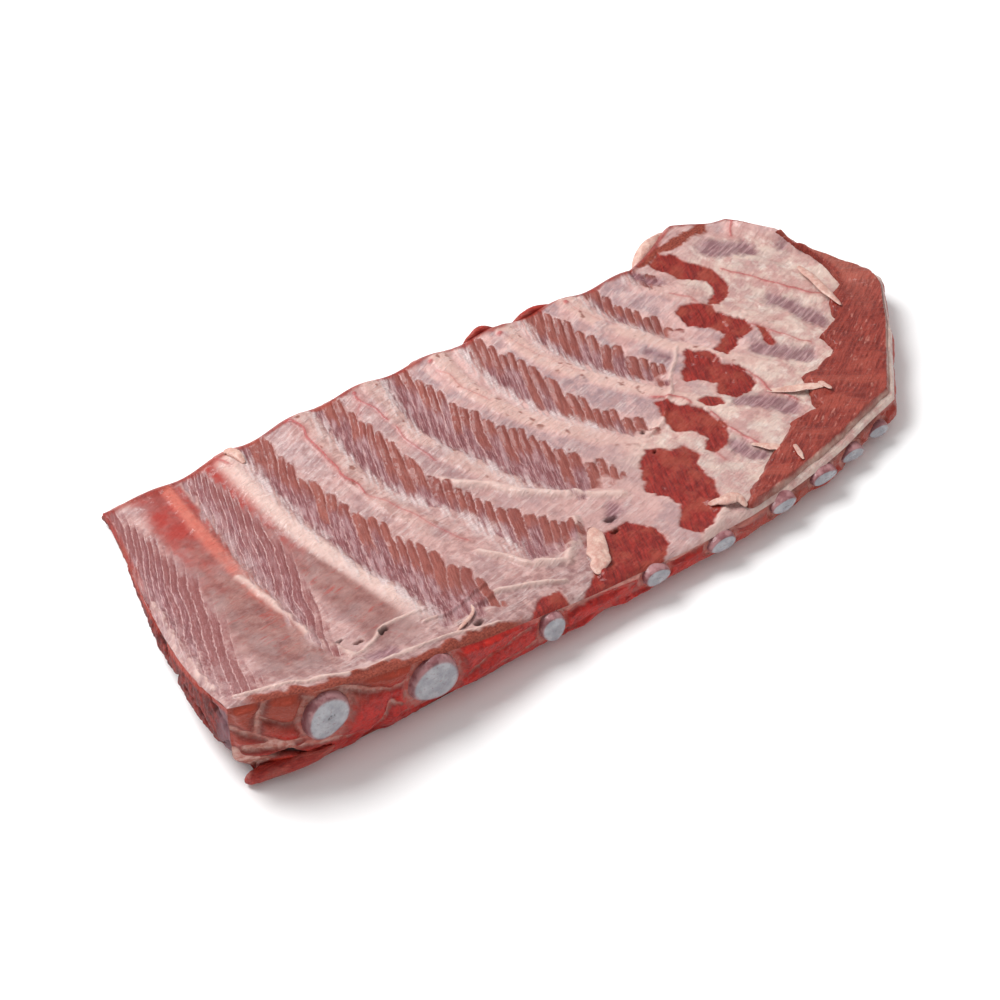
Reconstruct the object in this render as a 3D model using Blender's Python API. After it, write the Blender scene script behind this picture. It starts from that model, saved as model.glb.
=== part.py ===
"""Rack of raw pork spare ribs, lying with its inner side up.

The rack runs along X, its ribs run along -Y from the sawn back edge to the thick front edge,
and its underside rests on Z = 0. Lengths are in metres.
"""

import math

import bmesh
import bpy

MM = 0.001

# The ribs are counted from the left end. A place along the rack is a rib number, so 2.5 is the
# middle of the meat between the second rib and the third.
RIBS = 9
RIB_PITCH = 34 * MM
FIRST_RIB_X = -147 * MM
LEFT_END = 0.56
RIGHT_END = 10.0

# Rib number and position of the points that the sawn back edge and the front edge pass through.
BACK_EDGE = (
    (LEFT_END, -165 * MM, 69 * MM),
    (1.0, FIRST_RIB_X, 68 * MM),
    (8.2, FIRST_RIB_X + 7.2 * RIB_PITCH, 70 * MM),
    (9.0, 131 * MM, 86 * MM),
    (9.5, 156 * MM, 77 * MM),
    (RIGHT_END, 173 * MM, 54 * MM),
)
FRONT_EDGE = (
    (LEFT_END, -187 * MM, -83 * MM),
    (1.0, -156 * MM, -93 * MM),
    (2.0, -108 * MM, -93 * MM),
    (3.0, -59 * MM, -90 * MM),
    (5.0, 50 * MM, -85 * MM),
    (6.0, 94 * MM, -77 * MM),
    (7.0, 128 * MM, -66 * MM),
    (7.6, 146 * MM, -60 * MM),
    (8.0, 154 * MM, -50 * MM),
    (9.0, 172 * MM, -27 * MM),
    (RIGHT_END, 193 * MM, 6 * MM),
)

# Rib number and how far across the ribs there start to bend towards the right.
BEND_START = ((LEFT_END, -0.2), (2.0, 0.3), (9.0, -0.1), (RIGHT_END, -0.1))
BEND_END = 0.92

# Thickness of the meat: thin at the sawn edge, thick at the front of the left end.
BACK_THICKNESS_LEFT = 10 * MM
BACK_THICKNESS = 20 * MM
# How the thickness grows from the sawn edge: over 1 it grows later.
THICKNESS_POWER = 1.3
FULL_BACK_THICKNESS_FROM = 4.0
# Rib number and height of the front edge there.
FRONT_THICKNESS = (
    (LEFT_END, 46 * MM),
    (0.9, 46 * MM),
    (1.7, 37 * MM),
    (2.5, 29 * MM),
    (3.0, 24 * MM),
    (4.0, 18 * MM),
    (6.0, 16 * MM),
    (RIGHT_END, 17 * MM),
)
HOLLOW_DEPTH = 4 * MM
RIB_RELIEF = 2.4 * MM
RIB_RELIEF_LOST_AT_FRONT = 0.6
SIDE_BULGE = 2 * MM
SIDE_BULGE_HEIGHT = 0.45
# How far the flat underside keeps clear of the rim: a share of the way across, and in ribs.
UNDERSIDE_INSET_ACROSS = 0.033
UNDERSIDE_INSET_ALONG = 0.14

# Cross section of the bone at the sawn edge and of the cartilage at the front edge.
BONE_HALF_WIDTH = 7.5 * MM
BONE_HALF_HEIGHT = 2.8 * MM
# Rib number of the place on the front edge where each rib's cartilage comes out: the cartilages
# of the right half bend towards the left.
CARTILAGE_PLACE = (1.06, 2.02, 3.14, 4.08, 4.70, 5.40, 5.96, 6.56, 7.14)
CARTILAGE_BEND_START = 0.3
GROWTH_START = 0.25
CARTILAGE_HALF_WIDTH = [MM * w for w in (9.5, 11.0, 6.0, 7.0, 7.5, 7.0, 7.0, 6.5, 6.0)]
CARTILAGE_HALF_HEIGHT = [MM * h for h in (12.0, 11.5, 7.5, 4.5, 4.0, 3.8, 3.8, 3.8, 3.8)]
BACK_COVER = 1.9 * MM
FRONT_COVER = [MM * c for c in (3.0, 1.2, 1.6, 1.2, 2.3, 1.4, 1.2, 4.0, 5.0)]
GAP = 0.3 * MM
# A point at a corner moves this much further than the gap, so that the faces beside it clear it.
CORNER_ALLOWANCE = 2.0
BONE_STANDS_OUT = 1.0 * MM
CARTILAGE_STANDS_OUT = 2.5 * MM
CUTTER_REACH = 6 * MM

# The skirt muscle lies on the right end as a flap.
SKIRT_THICKNESS = 6 * MM
SKIRT_SUNK = 1.0 * MM
SKIRT_CROWN = 1.5 * MM
# Rib number and share of the way across, from the back end of the flap to its front end.
SKIRT_INNER_EDGE = (
    (9.75, 0.1),
    (9.6, 0.35),
    (9.3, 0.6),
    (8.6, 0.72),
    (7.6, 0.74),
    (6.4, 0.85),
    (5.1, 0.96),
)
SKIRT_OUTER_EDGE = (
    (9.92, 0.1),
    (9.92, 0.4),
    (9.92, 0.75),
    (9.4, 0.96),
    (8.0, 0.97),
    (6.6, 0.97),
    (5.15, 0.985),
)

COLUMNS_PER_RIB = 5
ROWS = 15
RIB_SIDES = 10
SKIRT_LANES = 3
RIB_STATIONS = 10


def between(table, place, column):
    """Value in this column of a table, read at a place in its first column."""
    for lower, upper in zip(table, table[1:]):
        if place <= upper[0]:
            break
    share = (place - lower[0]) / (upper[0] - lower[0])
    return lower[column] + (upper[column] - lower[column]) * share


def mix(first, second, share):
    return first + (second - first) * share


def smooth_step(start, end, value):
    share = min(max((value - start) / (end - start), 0.0), 1.0)
    return share * share * (3 - 2 * share)


def plan(rib, across):
    """Position seen from above: across is 0 at the sawn edge and 1 at the front edge."""
    along = min(max(rib, LEFT_END), RIGHT_END)
    drift = smooth_step(between(BEND_START, along, 1), BEND_END, across)
    x = mix(between(BACK_EDGE, along, 1), between(FRONT_EDGE, along, 1), drift)
    y = mix(between(BACK_EDGE, along, 2), between(FRONT_EDGE, along, 2), across)
    return x, y


def height(rib, across):
    """Height of the inner side, without the relief of the ribs."""
    across = min(max(across, 0.0), 1.0)
    back = mix(BACK_THICKNESS_LEFT, BACK_THICKNESS, smooth_step(LEFT_END, FULL_BACK_THICKNESS_FROM, rib))
    front = between(FRONT_THICKNESS, min(max(rib, LEFT_END), RIGHT_END), 1)
    return mix(back, front, across**THICKNESS_POWER) - HOLLOW_DEPTH * math.sin(math.pi * across)


def relief(rib, across):
    """The ribs stand up from the meat between them, less so towards the front edge."""
    fade = 1 - RIB_RELIEF_LOST_AT_FRONT * across
    if rib > RIBS + 0.5:
        return 0.0
    return RIB_RELIEF * fade * (math.cos(2 * math.pi * rib) - 1) / 2


def new_object(name, bm):
    bmesh.ops.recalc_face_normals(bm, faces=bm.faces)
    mesh = bpy.data.meshes.new(name)
    bm.to_mesh(mesh)
    bm.free()
    for polygon in mesh.polygons:
        polygon.use_smooth = True
    made = bpy.data.objects.new(name, mesh)
    bpy.context.scene.collection.objects.link(made)
    return made


def material(name, colour, roughness):
    made = bpy.data.materials.new(name)
    made.use_nodes = True
    shader = made.node_tree.nodes["Principled BSDF"]
    shader.inputs["Base Color"].default_value = (*colour, 1)
    shader.inputs["Roughness"].default_value = roughness
    shader.inputs["Metallic"].default_value = 0
    return made


def bridge(bm, lower, upper):
    """Joins two closed rings of vertices with the same number of vertices."""
    count = len(lower)
    for i in range(count):
        after = (i + 1) % count
        bm.faces.new((lower[i], lower[after], upper[after], upper[i]))


def rim(rows, columns):
    """Grid places round the edge of a grid, in order."""
    front = [(0, column) for column in range(columns)]
    right = [(row, columns - 1) for row in range(1, rows)]
    back = [(rows - 1, column) for column in reversed(range(columns - 1))]
    left = [(row, 0) for row in reversed(range(1, rows - 1))]
    return front + right + back + left


def fill_grid(bm, points):
    """Makes vertices and faces from rows of points, and returns the vertices."""
    grid = [[bm.verts.new(point) for point in row] for row in points]
    for lower, upper in zip(grid, grid[1:]):
        for i in range(len(lower) - 1):
            bm.faces.new((lower[i], lower[i + 1], upper[i + 1], upper[i]))
    return grid


def meat_slab():
    """The whole rack as one closed body: inner side, bulging cut sides and flat underside."""
    columns = round((RIGHT_END - LEFT_END) * COLUMNS_PER_RIB)
    ribs = [mix(LEFT_END, RIGHT_END, i / columns) for i in range(columns + 1)]
    acrosses = [row / (ROWS - 1) for row in range(ROWS)]
    bm = bmesh.new()
    top_points = []
    under_points = []
    for across in acrosses:
        top_row = []
        under_row = []
        for rib in ribs:
            x, y = plan(rib, across)
            top_row.append((x, y, height(rib, across) + relief(rib, across)))
            share = (rib - LEFT_END) / (RIGHT_END - LEFT_END)
            inner_rib = mix(LEFT_END + UNDERSIDE_INSET_ALONG, RIGHT_END - UNDERSIDE_INSET_ALONG, share)
            inner_across = mix(UNDERSIDE_INSET_ACROSS, 1 - UNDERSIDE_INSET_ACROSS, across)
            x, y = plan(inner_rib, inner_across)
            under_row.append((x, y, 0.0))
        top_points.append(top_row)
        under_points.append(under_row)
    top = fill_grid(bm, top_points)
    under = fill_grid(bm, under_points)
    places = rim(ROWS, columns + 1)
    top_rim = [top[row][column] for row, column in places]
    under_rim = [under[row][column] for row, column in places]
    middle_rim = []
    for above, below in zip(top_rim, under_rim):
        outward = above.co - below.co
        outward.z = 0
        outward.normalize()
        bulge = above.co + outward * SIDE_BULGE
        bulge.z = above.co.z * SIDE_BULGE_HEIGHT
        middle_rim.append(bm.verts.new(bulge))
    bridge(bm, under_rim, middle_rim)
    bridge(bm, middle_rim, top_rim)
    return new_object("meat", bm)


def rib_body(number, name, swell, back_reach, front_reach):
    """One rib from the sawn edge to the front edge, an oval that grows towards its cartilage end.

    swell widens it all round, which turns it into the cutter of its channel. The reaches are how
    far its two ends stand out of the meat.
    """
    index = number - 1
    bm = bmesh.new()
    sections = []
    for station in range(RIB_STATIONS + 1):
        across = station / RIB_STATIONS
        growth = smooth_step(GROWTH_START, 1.0, across)
        half_width = mix(BONE_HALF_WIDTH, CARTILAGE_HALF_WIDTH[index], growth)
        half_height = mix(BONE_HALF_HEIGHT, CARTILAGE_HALF_HEIGHT[index], growth)
        cover = mix(BACK_COVER, FRONT_COVER[index], growth)
        bend = smooth_step(CARTILAGE_BEND_START, 1.0, across)
        place = mix(number, CARTILAGE_PLACE[index], bend)
        x, y = plan(place, across)
        z = height(place, across) - cover - half_height
        sections.append((x, y, z, half_width + swell, half_height + swell))
    x, y, z, half_width, half_height = sections[0]
    sections.insert(0, (x, y + back_reach, z, half_width, half_height))
    x, y, z, half_width, half_height = sections[-1]
    sections.append((x, y - front_reach, z, half_width, half_height))
    rings = []
    for x, y, z, half_width, half_height in sections:
        ring = []
        for side in range(RIB_SIDES):
            angle = 2 * math.pi * (side + 0.5) / RIB_SIDES
            point = (x + half_width * math.cos(angle), y, z + half_height * math.sin(angle))
            ring.append(bm.verts.new(point))
        rings.append(ring)
    for lower, upper in zip(rings, rings[1:]):
        bridge(bm, lower, upper)
    bm.faces.new(rings[0])
    bm.faces.new(rings[-1])
    return new_object(name, bm)


def skirt_body(name, swell):
    """The flap of skirt muscle, between its inner edge on the ribs and the rim of the rack.

    swell widens it all round, which turns it into the cutter of its bed in the meat.
    """
    bm = bmesh.new()
    lower_points = []
    upper_points = []
    for lane in range(SKIRT_LANES + 1):
        outward = lane / SKIRT_LANES
        crown = SKIRT_CROWN * math.sin(math.pi * outward)
        lower_row = []
        upper_row = []
        for inner, outer in zip(SKIRT_INNER_EDGE, SKIRT_OUTER_EDGE):
            rib = mix(inner[0], outer[0], outward)
            across = mix(inner[1], outer[1], outward)
            x, y = plan(rib, across)
            base = height(rib, across) - SKIRT_SUNK
            lower_row.append((x, y, base))
            upper_row.append((x, y, base + SKIRT_THICKNESS + crown))
        lower_points.append(lower_row)
        upper_points.append(upper_row)
    lower = fill_grid(bm, lower_points)
    upper = fill_grid(bm, upper_points)
    places = rim(SKIRT_LANES + 1, len(SKIRT_INNER_EDGE))
    lower_rim = [lower[row][column] for row, column in places]
    upper_rim = [upper[row][column] for row, column in places]
    bridge(bm, lower_rim, upper_rim)
    bmesh.ops.recalc_face_normals(bm, faces=bm.faces)
    bm.normal_update()
    pushed = [(vertex, vertex.normal * swell * CORNER_ALLOWANCE) for vertex in bm.verts]
    for vertex, push in pushed:
        vertex.co += push
    return new_object(name, bm)


def cut_away(body, cutter):
    cutter.hide_render = True
    cutter.display_type = "WIRE"
    cut = body.modifiers.new(cutter.name, "BOOLEAN")
    cut.object = cutter
    cut.operation = "DIFFERENCE"
    cut.solver = "EXACT"


for leftover in list(bpy.data.objects):
    bpy.data.objects.remove(leftover, do_unlink=True)

meat = meat_slab()
meat.data.materials.append(material("raw_meat", (0.42, 0.16, 0.13), 0.4))

bone = material("bone_and_cartilage", (0.58, 0.52, 0.52), 0.35)
for rib_number in range(1, RIBS + 1):
    rib = rib_body(rib_number, f"rib_{rib_number}", 0.0, BONE_STANDS_OUT, CARTILAGE_STANDS_OUT)
    rib.data.materials.append(bone)
    channel_name = f"rib_channel_{rib_number}"
    cut_away(meat, rib_body(rib_number, channel_name, GAP, CUTTER_REACH, CUTTER_REACH))

skirt = skirt_body("skirt_muscle", swell=0.0)
skirt.data.materials.append(material("skirt_meat", (0.36, 0.1, 0.07), 0.4))
cut_away(meat, skirt_body("skirt_bed", swell=GAP))
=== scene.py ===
import math

import bpy
import numpy as np
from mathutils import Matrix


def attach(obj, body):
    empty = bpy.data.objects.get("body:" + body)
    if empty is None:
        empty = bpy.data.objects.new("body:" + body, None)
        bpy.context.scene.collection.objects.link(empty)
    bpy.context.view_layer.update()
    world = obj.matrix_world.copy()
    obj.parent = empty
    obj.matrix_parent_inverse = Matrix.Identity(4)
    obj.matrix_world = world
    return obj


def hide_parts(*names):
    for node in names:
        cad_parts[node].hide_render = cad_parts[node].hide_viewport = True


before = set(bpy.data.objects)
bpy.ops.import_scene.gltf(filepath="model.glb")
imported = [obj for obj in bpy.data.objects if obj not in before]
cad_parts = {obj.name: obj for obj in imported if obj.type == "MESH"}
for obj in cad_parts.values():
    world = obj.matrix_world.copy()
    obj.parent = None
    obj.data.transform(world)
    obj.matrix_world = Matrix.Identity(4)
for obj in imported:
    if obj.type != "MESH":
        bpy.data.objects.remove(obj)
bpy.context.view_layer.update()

# ---------------------------------------------------------------------------------------------
# Inner side. The thin skin of the chest covers the ribs in pale pink. Between the ribs it has
# been torn off the muscle, whose bundles slant across like the barbs of a feather. It is one
# skin, made as three panels so that each is fine enough, and they share their edges.
# ---------------------------------------------------------------------------------------------
MM = 0.001
# The slab lies on its outer side. A place on it is a rib number, counted from the left end, and
# a share of the way across, from the sawn back edge at 0 to the front edge at 1, where the
# cartilage was cut.
LEFT_END = 0.56
RIGHT_END = 10.0
# Rib number, x and y in millimetres.
BACK_EDGE = (
    (0.56, -165, 69), (1, -147, 68), (8.2, 97.8, 70), (9, 131, 86), (9.5, 156, 77), (10, 173, 54),
)
FRONT_EDGE = (
    (0.56, -187, -83), (1, -156, -93), (2, -108, -93), (3, -59, -90), (5, 50, -85), (6, 94, -77),
    (7, 128, -66), (7.6, 146, -60), (8, 154, -50), (9, 172, -27), (10, 193, 6),
)
# Rib number and the share across from which the ribs bend on their way to the front.
BEND_START = ((0.56, -0.2), (2, 0.3), (9, -0.1), (10, -0.1))
BEND_END = 0.92
# Rib number and height of the front edge in millimetres.
FRONT_THICKNESS = ((0.56, 46), (0.9, 46), (1.7, 37), (2.5, 29), (3, 24), (4, 18), (6, 16), (10, 17))
BACK_THICKNESS_LEFT = 10
BACK_THICKNESS = 20
FULL_BACK_THICKNESS_FROM = 4
THICKNESS_POWER = 1.3
HOLLOW_DEPTH = 4


def along_table(table, place, column=1):
    """Value in a column of a table at each place of its first column, joined by straight lines."""
    return np.interp(place, [row[0] for row in table], [row[column] for row in table])


def smooth_step(start, end, value):
    """0 before start and 1 past end, smooth between them. Start may be the greater of the two."""
    share = np.clip((value - start) / (end - start), 0, 1)
    return share * share * (3 - 2 * share)


def mix(first, second, share):
    """The first value where share is 0 and the second where it is 1."""
    return first + (second - first) * share


def plan(rib, across):
    """Position seen from above, in millimetres."""
    drift = smooth_step(along_table(BEND_START, rib), BEND_END, across)
    x = mix(along_table(BACK_EDGE, rib), along_table(FRONT_EDGE, rib), drift)
    y = mix(along_table(BACK_EDGE, rib, 2), along_table(FRONT_EDGE, rib, 2), across)
    return x, y


def height(rib, across):
    """Height of the inner side in millimetres, without its relief."""
    across = np.clip(across, 0, 1)
    thicker = smooth_step(LEFT_END, FULL_BACK_THICKNESS_FROM, rib)
    back = mix(BACK_THICKNESS_LEFT, BACK_THICKNESS, thicker)
    front = along_table(FRONT_THICKNESS, rib)
    return mix(back, front, across**THICKNESS_POWER) - HOLLOW_DEPTH * np.sin(math.pi * across)


LATTICE_SIDE = 128
LATTICE_START_X = 57.3
LATTICE_START_Y = 31.7


def noise(x, y, size, seed):
    """Smooth random values from 0 to 1 over the plane, with lumps of about this size. Each seed
    gives a pattern of its own."""
    lattice = np.random.RandomState(seed).rand(LATTICE_SIDE, LATTICE_SIDE)
    x = np.asarray(x) / size + LATTICE_START_X
    y = np.asarray(y) / size + LATTICE_START_Y
    column = np.floor(x).astype(int)
    row = np.floor(y).astype(int)
    share_x = smooth_step(0, 1, x - column)
    share_y = smooth_step(0, 1, y - row)
    left, right = column % LATTICE_SIDE, (column + 1) % LATTICE_SIDE
    below, above = row % LATTICE_SIDE, (row + 1) % LATTICE_SIDE
    near = mix(lattice[left, below], lattice[right, below], share_x)
    far = mix(lattice[left, above], lattice[right, above], share_x)
    return mix(near, far, share_y)


def rough_noise(x, y, size, seed, octaves=4):
    """Noise with finer lumps on its lumps, from 0 to 1."""
    total = 0
    weight = 0
    for octave in range(octaves):
        total = total + noise(x, y, size / 2**octave, seed + octave) / 2**octave
        weight += 1 / 2**octave
    return total / weight


def path_distance(x, y, corners):
    """Distance in millimetres from each point to a line through corners."""
    nearest = np.full(np.shape(x), 1e9)
    for (ax, ay), (bx, by) in zip(corners, corners[1:]):
        length = (bx - ax) ** 2 + (by - ay) ** 2
        share = np.clip(((x - ax) * (bx - ax) + (y - ay) * (by - ay)) / length, 0, 1)
        nearest = np.minimum(nearest, np.hypot(x - mix(ax, bx, share), y - mix(ay, by, share)))
    return nearest


def line_distance(x, y, places):
    """Distance in millimetres from each point to a line through places on the rack."""
    return path_distance(x, y, [plan(rib, across) for rib, across in places])


# For each strip of muscle, the rib numbers of its left and right edge at five places across, and
# how far across it reaches.
STRIP_PLACES = (0, 0.2, 0.4, 0.6, 0.8)
STRIPS = (
    ((0.48, 0.48, 0.52, 0.57, 0.60), (0.68, 0.82, 0.92, 0.92, 0.84), 0.96),
    ((1.44, 1.40, 1.38, 1.36, 1.36), (1.73, 1.84, 1.89, 1.72, 1.50), 0.90),
    ((2.21, 2.21, 2.26, 2.24, 2.32), (2.61, 2.66, 2.86, 2.88, 2.92), 0.93),
    ((3.26, 3.26, 3.33, 3.48, 3.36), (3.62, 3.84, 3.79, 3.76, 3.98), 0.84),
    ((4.33, 4.18, 4.25, 4.15, 4.40), (4.67, 4.86, 4.90, 4.78, 4.60), 0.69),
    ((5.50, 5.45, 5.32, 5.34, 5.50), (5.74, 5.98, 5.70, 5.58, 5.50), 0.60),
    ((6.46, 6.34, 6.30, 6.35, 6.40), (6.80, 6.88, 6.72, 6.50, 6.45), 0.48),
    ((7.37, 7.27, 7.30, 7.40, 7.40), (7.60, 7.62, 7.48, 7.42, 7.42), 0.36),
    ((8.00, 8.02, 8.10, 8.10, 8.10), (8.22, 8.30, 8.15, 8.12, 8.12), 0.16),
)
RIB_SPACING = 34
BUNDLE_WIDTH = 4.1
BUNDLE_SLANT = math.radians(18)
# How far the bundles sway sideways, and over what length.
BUNDLE_SWAY = 3.0
BUNDLE_SWAY_LENGTH = 16
# Each bundle is bare of film for at least this far from its tip, and up to this much further.
LEAST_BARE = 8
BARE_SPREAD = 36
# How far the tips of neighbouring bundles are out of line, and how long each tip is.
TIP_SCATTER = 10
TIP_LENGTH = 4
# The first strips keep most of their film, which draws their bundles together.
FILMED_STRIPS = 2
FILMED_TIP_SCATTER = 3
FILMED_NARROWER = 0.3
# The fine white hairs of torn skin lie at this angle to the rack's length.
HAIR_TURN = math.radians(17)
# Blood vessels along the ribs: places they pass, half width in millimetres, strength.
VESSELS = (
    (((2.96, 0.02), (3.01, 0.07), (3.06, 0.18), (3.05, 0.27), (3.08, 0.36)), 0.55, 1.0),
    (((3.08, 0.36), (3.16, 0.47), (3.17, 0.56), (3.24, 0.66)), 0.5, 0.6),
    (((3.86, 0.04), (3.98, 0.12), (4.01, 0.16)), 0.5, 0.9),
    (((4.01, 0.20), (4.0, 0.28), (3.96, 0.36)), 0.5, 0.7),
    (((3.86, 0.07), (3.72, 0.10), (3.62, 0.19)), 0.45, 0.5),
    (((5.01, 0.07), (5.06, 0.17), (5.12, 0.25)), 0.5, 0.5),
    (((6.05, 0.05), (6.15, 0.17), (6.20, 0.3)), 0.4, 0.3),
    (((7.10, 0.04), (7.20, 0.20)), 0.4, 0.3),
    (((1.93, 0.01), (2.02, 0.06)), 0.8, 0.9),
    (((8.78, 0.28), (8.84, 0.37), (8.86, 0.47), (8.90, 0.55), (9.00, 0.66)), 0.7, 0.9),
    (((7.92, 0.47), (7.90, 0.52), (7.86, 0.59), (7.85, 0.66)), 0.6, 0.8),
    (((7.02, 0.54), (6.86, 0.62), (6.70, 0.69), (6.66, 0.76)), 0.7, 0.9),
    (((5.98, 0.64), (5.80, 0.73), (5.75, 0.80), (5.76, 0.86)), 0.8, 0.9),
    (((6.02, 0.50), (6.12, 0.53), (6.05, 0.58)), 1.2, 0.9),
    (((8.10, 0.20), (8.20, 0.25), (8.10, 0.29)), 1.2, 0.5),
    (((9.50, 0.05), (9.42, 0.10), (9.35, 0.15)), 0.6, 1.0),
    (((5.55, 0.70), (5.36, 0.80)), 0.7, 0.6),
)
# Spots of blood where the vessels come out at the sawn edge: place and radius in millimetres.
BLOOD_SPOTS = (
    (2.93, 0.02, 2.4), (3.86, 0.03, 1.6), (4.98, 0.035, 1.6), (6.02, 0.05, 2.2), (7.07, 0.045, 2.0),
)
SPOT_LENGTH = 0.01
# Outlines of the patches of dark red meat between the cartilages.
RED_PATCHES = (
    (
        (8.40, 0.07), (8.45, 0.05), (8.60, 0.04), (8.70, 0.09), (8.70, 0.14), (8.75, 0.20), (8.75, 0.25),
        (8.65, 0.32), (8.55, 0.34), (8.40, 0.35), (8.22, 0.345), (8.20, 0.31), (8.46, 0.30), (8.55, 0.26),
        (8.50, 0.20), (8.45, 0.14),
    ),
    (
        (7.82, 0.27), (7.95, 0.26), (8.15, 0.30), (8.15, 0.33), (8.02, 0.36), (8.03, 0.41), (8.00, 0.45),
        (7.85, 0.49), (7.70, 0.48), (7.60, 0.47), (7.40, 0.49), (7.20, 0.50), (7.20, 0.465), (7.45, 0.45),
        (7.65, 0.43), (7.70, 0.40), (7.70, 0.36), (7.65, 0.33),
    ),
    ((7.95, 0.49), (7.90, 0.52), (7.80, 0.55), (7.70, 0.57), (7.60, 0.56), (7.70, 0.53), (7.80, 0.51)),
    (
        (7.00, 0.42), (7.12, 0.41), (7.07, 0.44), (7.15, 0.46), (7.10, 0.49), (6.95, 0.525), (7.00, 0.56),
        (6.90, 0.60), (6.75, 0.64), (6.60, 0.65), (6.40, 0.64), (6.40, 0.59), (6.58, 0.565), (6.60, 0.53),
        (6.55, 0.50), (6.65, 0.47), (6.80, 0.46),
    ),
    ((6.13, 0.585), (6.30, 0.585), (6.32, 0.615), (6.20, 0.635), (6.10, 0.62)),
    (
        (5.93, 0.51), (6.05, 0.52), (5.98, 0.56), (6.01, 0.58), (6.00, 0.62), (5.90, 0.66), (5.85, 0.70),
        (5.70, 0.74), (5.60, 0.76), (5.45, 0.75), (5.40, 0.73), (5.58, 0.705), (5.62, 0.67), (5.57, 0.63),
        (5.65, 0.59), (5.80, 0.555),
    ),
    (
        (5.11, 0.64), (5.21, 0.65), (5.23, 0.68), (5.35, 0.69), (5.30, 0.74), (5.16, 0.76), (5.08, 0.80),
        (5.02, 0.85), (4.86, 0.94), (4.58, 0.985), (4.50, 0.92), (4.66, 0.85), (4.64, 0.76), (4.82, 0.69),
    ),
    ((4.01, 0.83), (4.21, 0.83), (4.33, 0.89), (4.30, 0.96), (4.12, 1.02), (3.36, 1.02), (3.62, 0.95)),
    ((2.86, 1.03), (3.16, 0.95), (3.33, 0.95), (3.28, 1.01), (3.01, 1.03)),
)
# Outline of the brown muscle along the sawn edge where the back bone was cut away.
SHOULDER = ((8.22, -0.02), (9.40, -0.02), (9.22, 0.075), (8.86, 0.10), (8.62, 0.05), (8.30, 0.035))
# Thin places of the skin with muscle dim behind them: the line each follows and its half width.
WINDOWS = (
    (((9.02, 0.19), (9.28, 0.25)), 5.5),
    (((8.60, 0.49), (8.55, 0.57), (8.48, 0.66)), 4.6),
    (((7.50, 0.54), (7.55, 0.60), (7.58, 0.66)), 4.8),
    (((6.38, 0.66), (6.45, 0.70), (6.52, 0.76)), 5.4),
    (((5.62, 0.77), (5.62, 0.84)), 4.4),
    (((8.15, 0.06), (8.25, 0.12)), 3.4),
    (((6.90, 0.355), (6.88, 0.40)), 1.6),
    (((9.62, 0.30), (9.68, 0.27)), 3.0),
    (((4.30, 0.76), (4.15, 0.80)), 3.4),
    (((1.62, 0.93), (1.80, 0.935)), 2.6),
)
# Folds of the loose skin near the front: places, half width and height in millimetres.
FOLDS = (
    (((3.75, 0.44), (3.96, 0.52), (4.01, 0.58), (4.16, 0.64), (4.5, 0.73)), 4.0, 1.6),
    (((3.16, 0.72), (3.26, 0.77), (3.36, 0.84), (3.56, 0.87), (3.86, 0.79), (3.98, 0.74)), 3.6, 2.2),
    (((2.70, 0.88), (2.96, 0.87), (3.16, 0.90), (3.4, 0.93)), 2.6, 1.8),
    (((3.80, 0.87), (3.72, 0.96)), 4.2, 2.2),
    (((0.62, 0.965), (1.0, 0.955), (1.5, 0.97), (2.0, 0.955), (2.4, 0.96), (2.7, 0.97)), 2.0, 1.2),
    (((1.55, 0.90), (1.95, 0.84), (2.3, 0.83)), 1.6, 0.9),
    (((2.2, 0.88), (2.6, 0.86), (2.9, 0.82)), 1.5, 1.0),
    (((4.86, 0.90), (4.84, 0.95), (4.6, 1.0)), 4.5, 1.5),
    (((6.35, 0.49), (5.75, 0.57), (5.35, 0.60)), 1.8, 1.0),
    (((7.05, 0.40), (6.7, 0.44), (6.35, 0.49)), 1.4, 0.8),
    (((0.58, 0.26), (0.585, 0.41), (0.60, 0.50), (0.60, 0.65), (0.59, 0.90)), 2.2, 1.2),
    (((1.24, 0.45), (1.34, 0.62), (1.38, 0.8), (1.5, 0.9)), 3.0, 1.0),
)
# Hollows under torn skin, sunk in and darkened with painted shade: place and radius in
# millimetres. Each is drawn out a little.
HOLLOWS = (
    (2.56, 0.945, 2.2), (2.46, 0.935, 1.3), (4.14, 0.80, 2.8), (4.05, 0.84, 2.0), (1.50, 0.83, 1.0),
    (1.62, 0.86, 0.9), (1.86, 0.86, 1.3), (5.42, 0.575, 1.3), (5.10, 0.66, 1.2),
)
HOLLOW_LENGTH = 0.05
HOLLOW_LEAN = 0.005
# How much the lines of vessels, folds and hollows wander, and over what length.
WANDER = 2.4
WANDER_LENGTH = 7
# Millimetres across the rack, and from one rib to the next at each end.
RACK_WIDTH = 150
LEFT_SPACING = 36
RIGHT_SPACING = 30
WAVE_HEIGHT = 2.4
RIM_ROUNDING = 3.5
RIM_DROP = 0.55
INNER_ROWS = 335
INNER_COLUMNS_PER_RIB = 92


def bundle_frame(x, y):
    """Distances in millimetres across and along the bundles of muscle."""
    across_bundles = x * math.cos(BUNDLE_SLANT) - y * math.sin(BUNDLE_SLANT)
    along_bundles = x * math.sin(BUNDLE_SLANT) + y * math.cos(BUNDLE_SLANT)
    return across_bundles, along_bundles


def chance(number, seed):
    """A random value from 0 to 1 for each whole number."""
    values = np.random.RandomState(seed).rand(512)
    return values[number.astype(int) % len(values)]


def outline_distance(x, y, places):
    """Distance in millimetres from an outline through places on the rack, negative inside it."""
    corners = [plan(rib, across) for rib, across in places]
    inside = np.zeros(np.shape(x), bool)
    for (ax, ay), (bx, by) in zip(corners, corners[1:] + corners[:1]):
        if ay != by:
            crosses = (ay > y) != (by > y)
            inside ^= crosses & (x < ax + (y - ay) * (bx - ax) / (by - ay))
    distance = line_distance(x, y, places + places[:1])
    return np.where(inside, -distance, distance)


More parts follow.
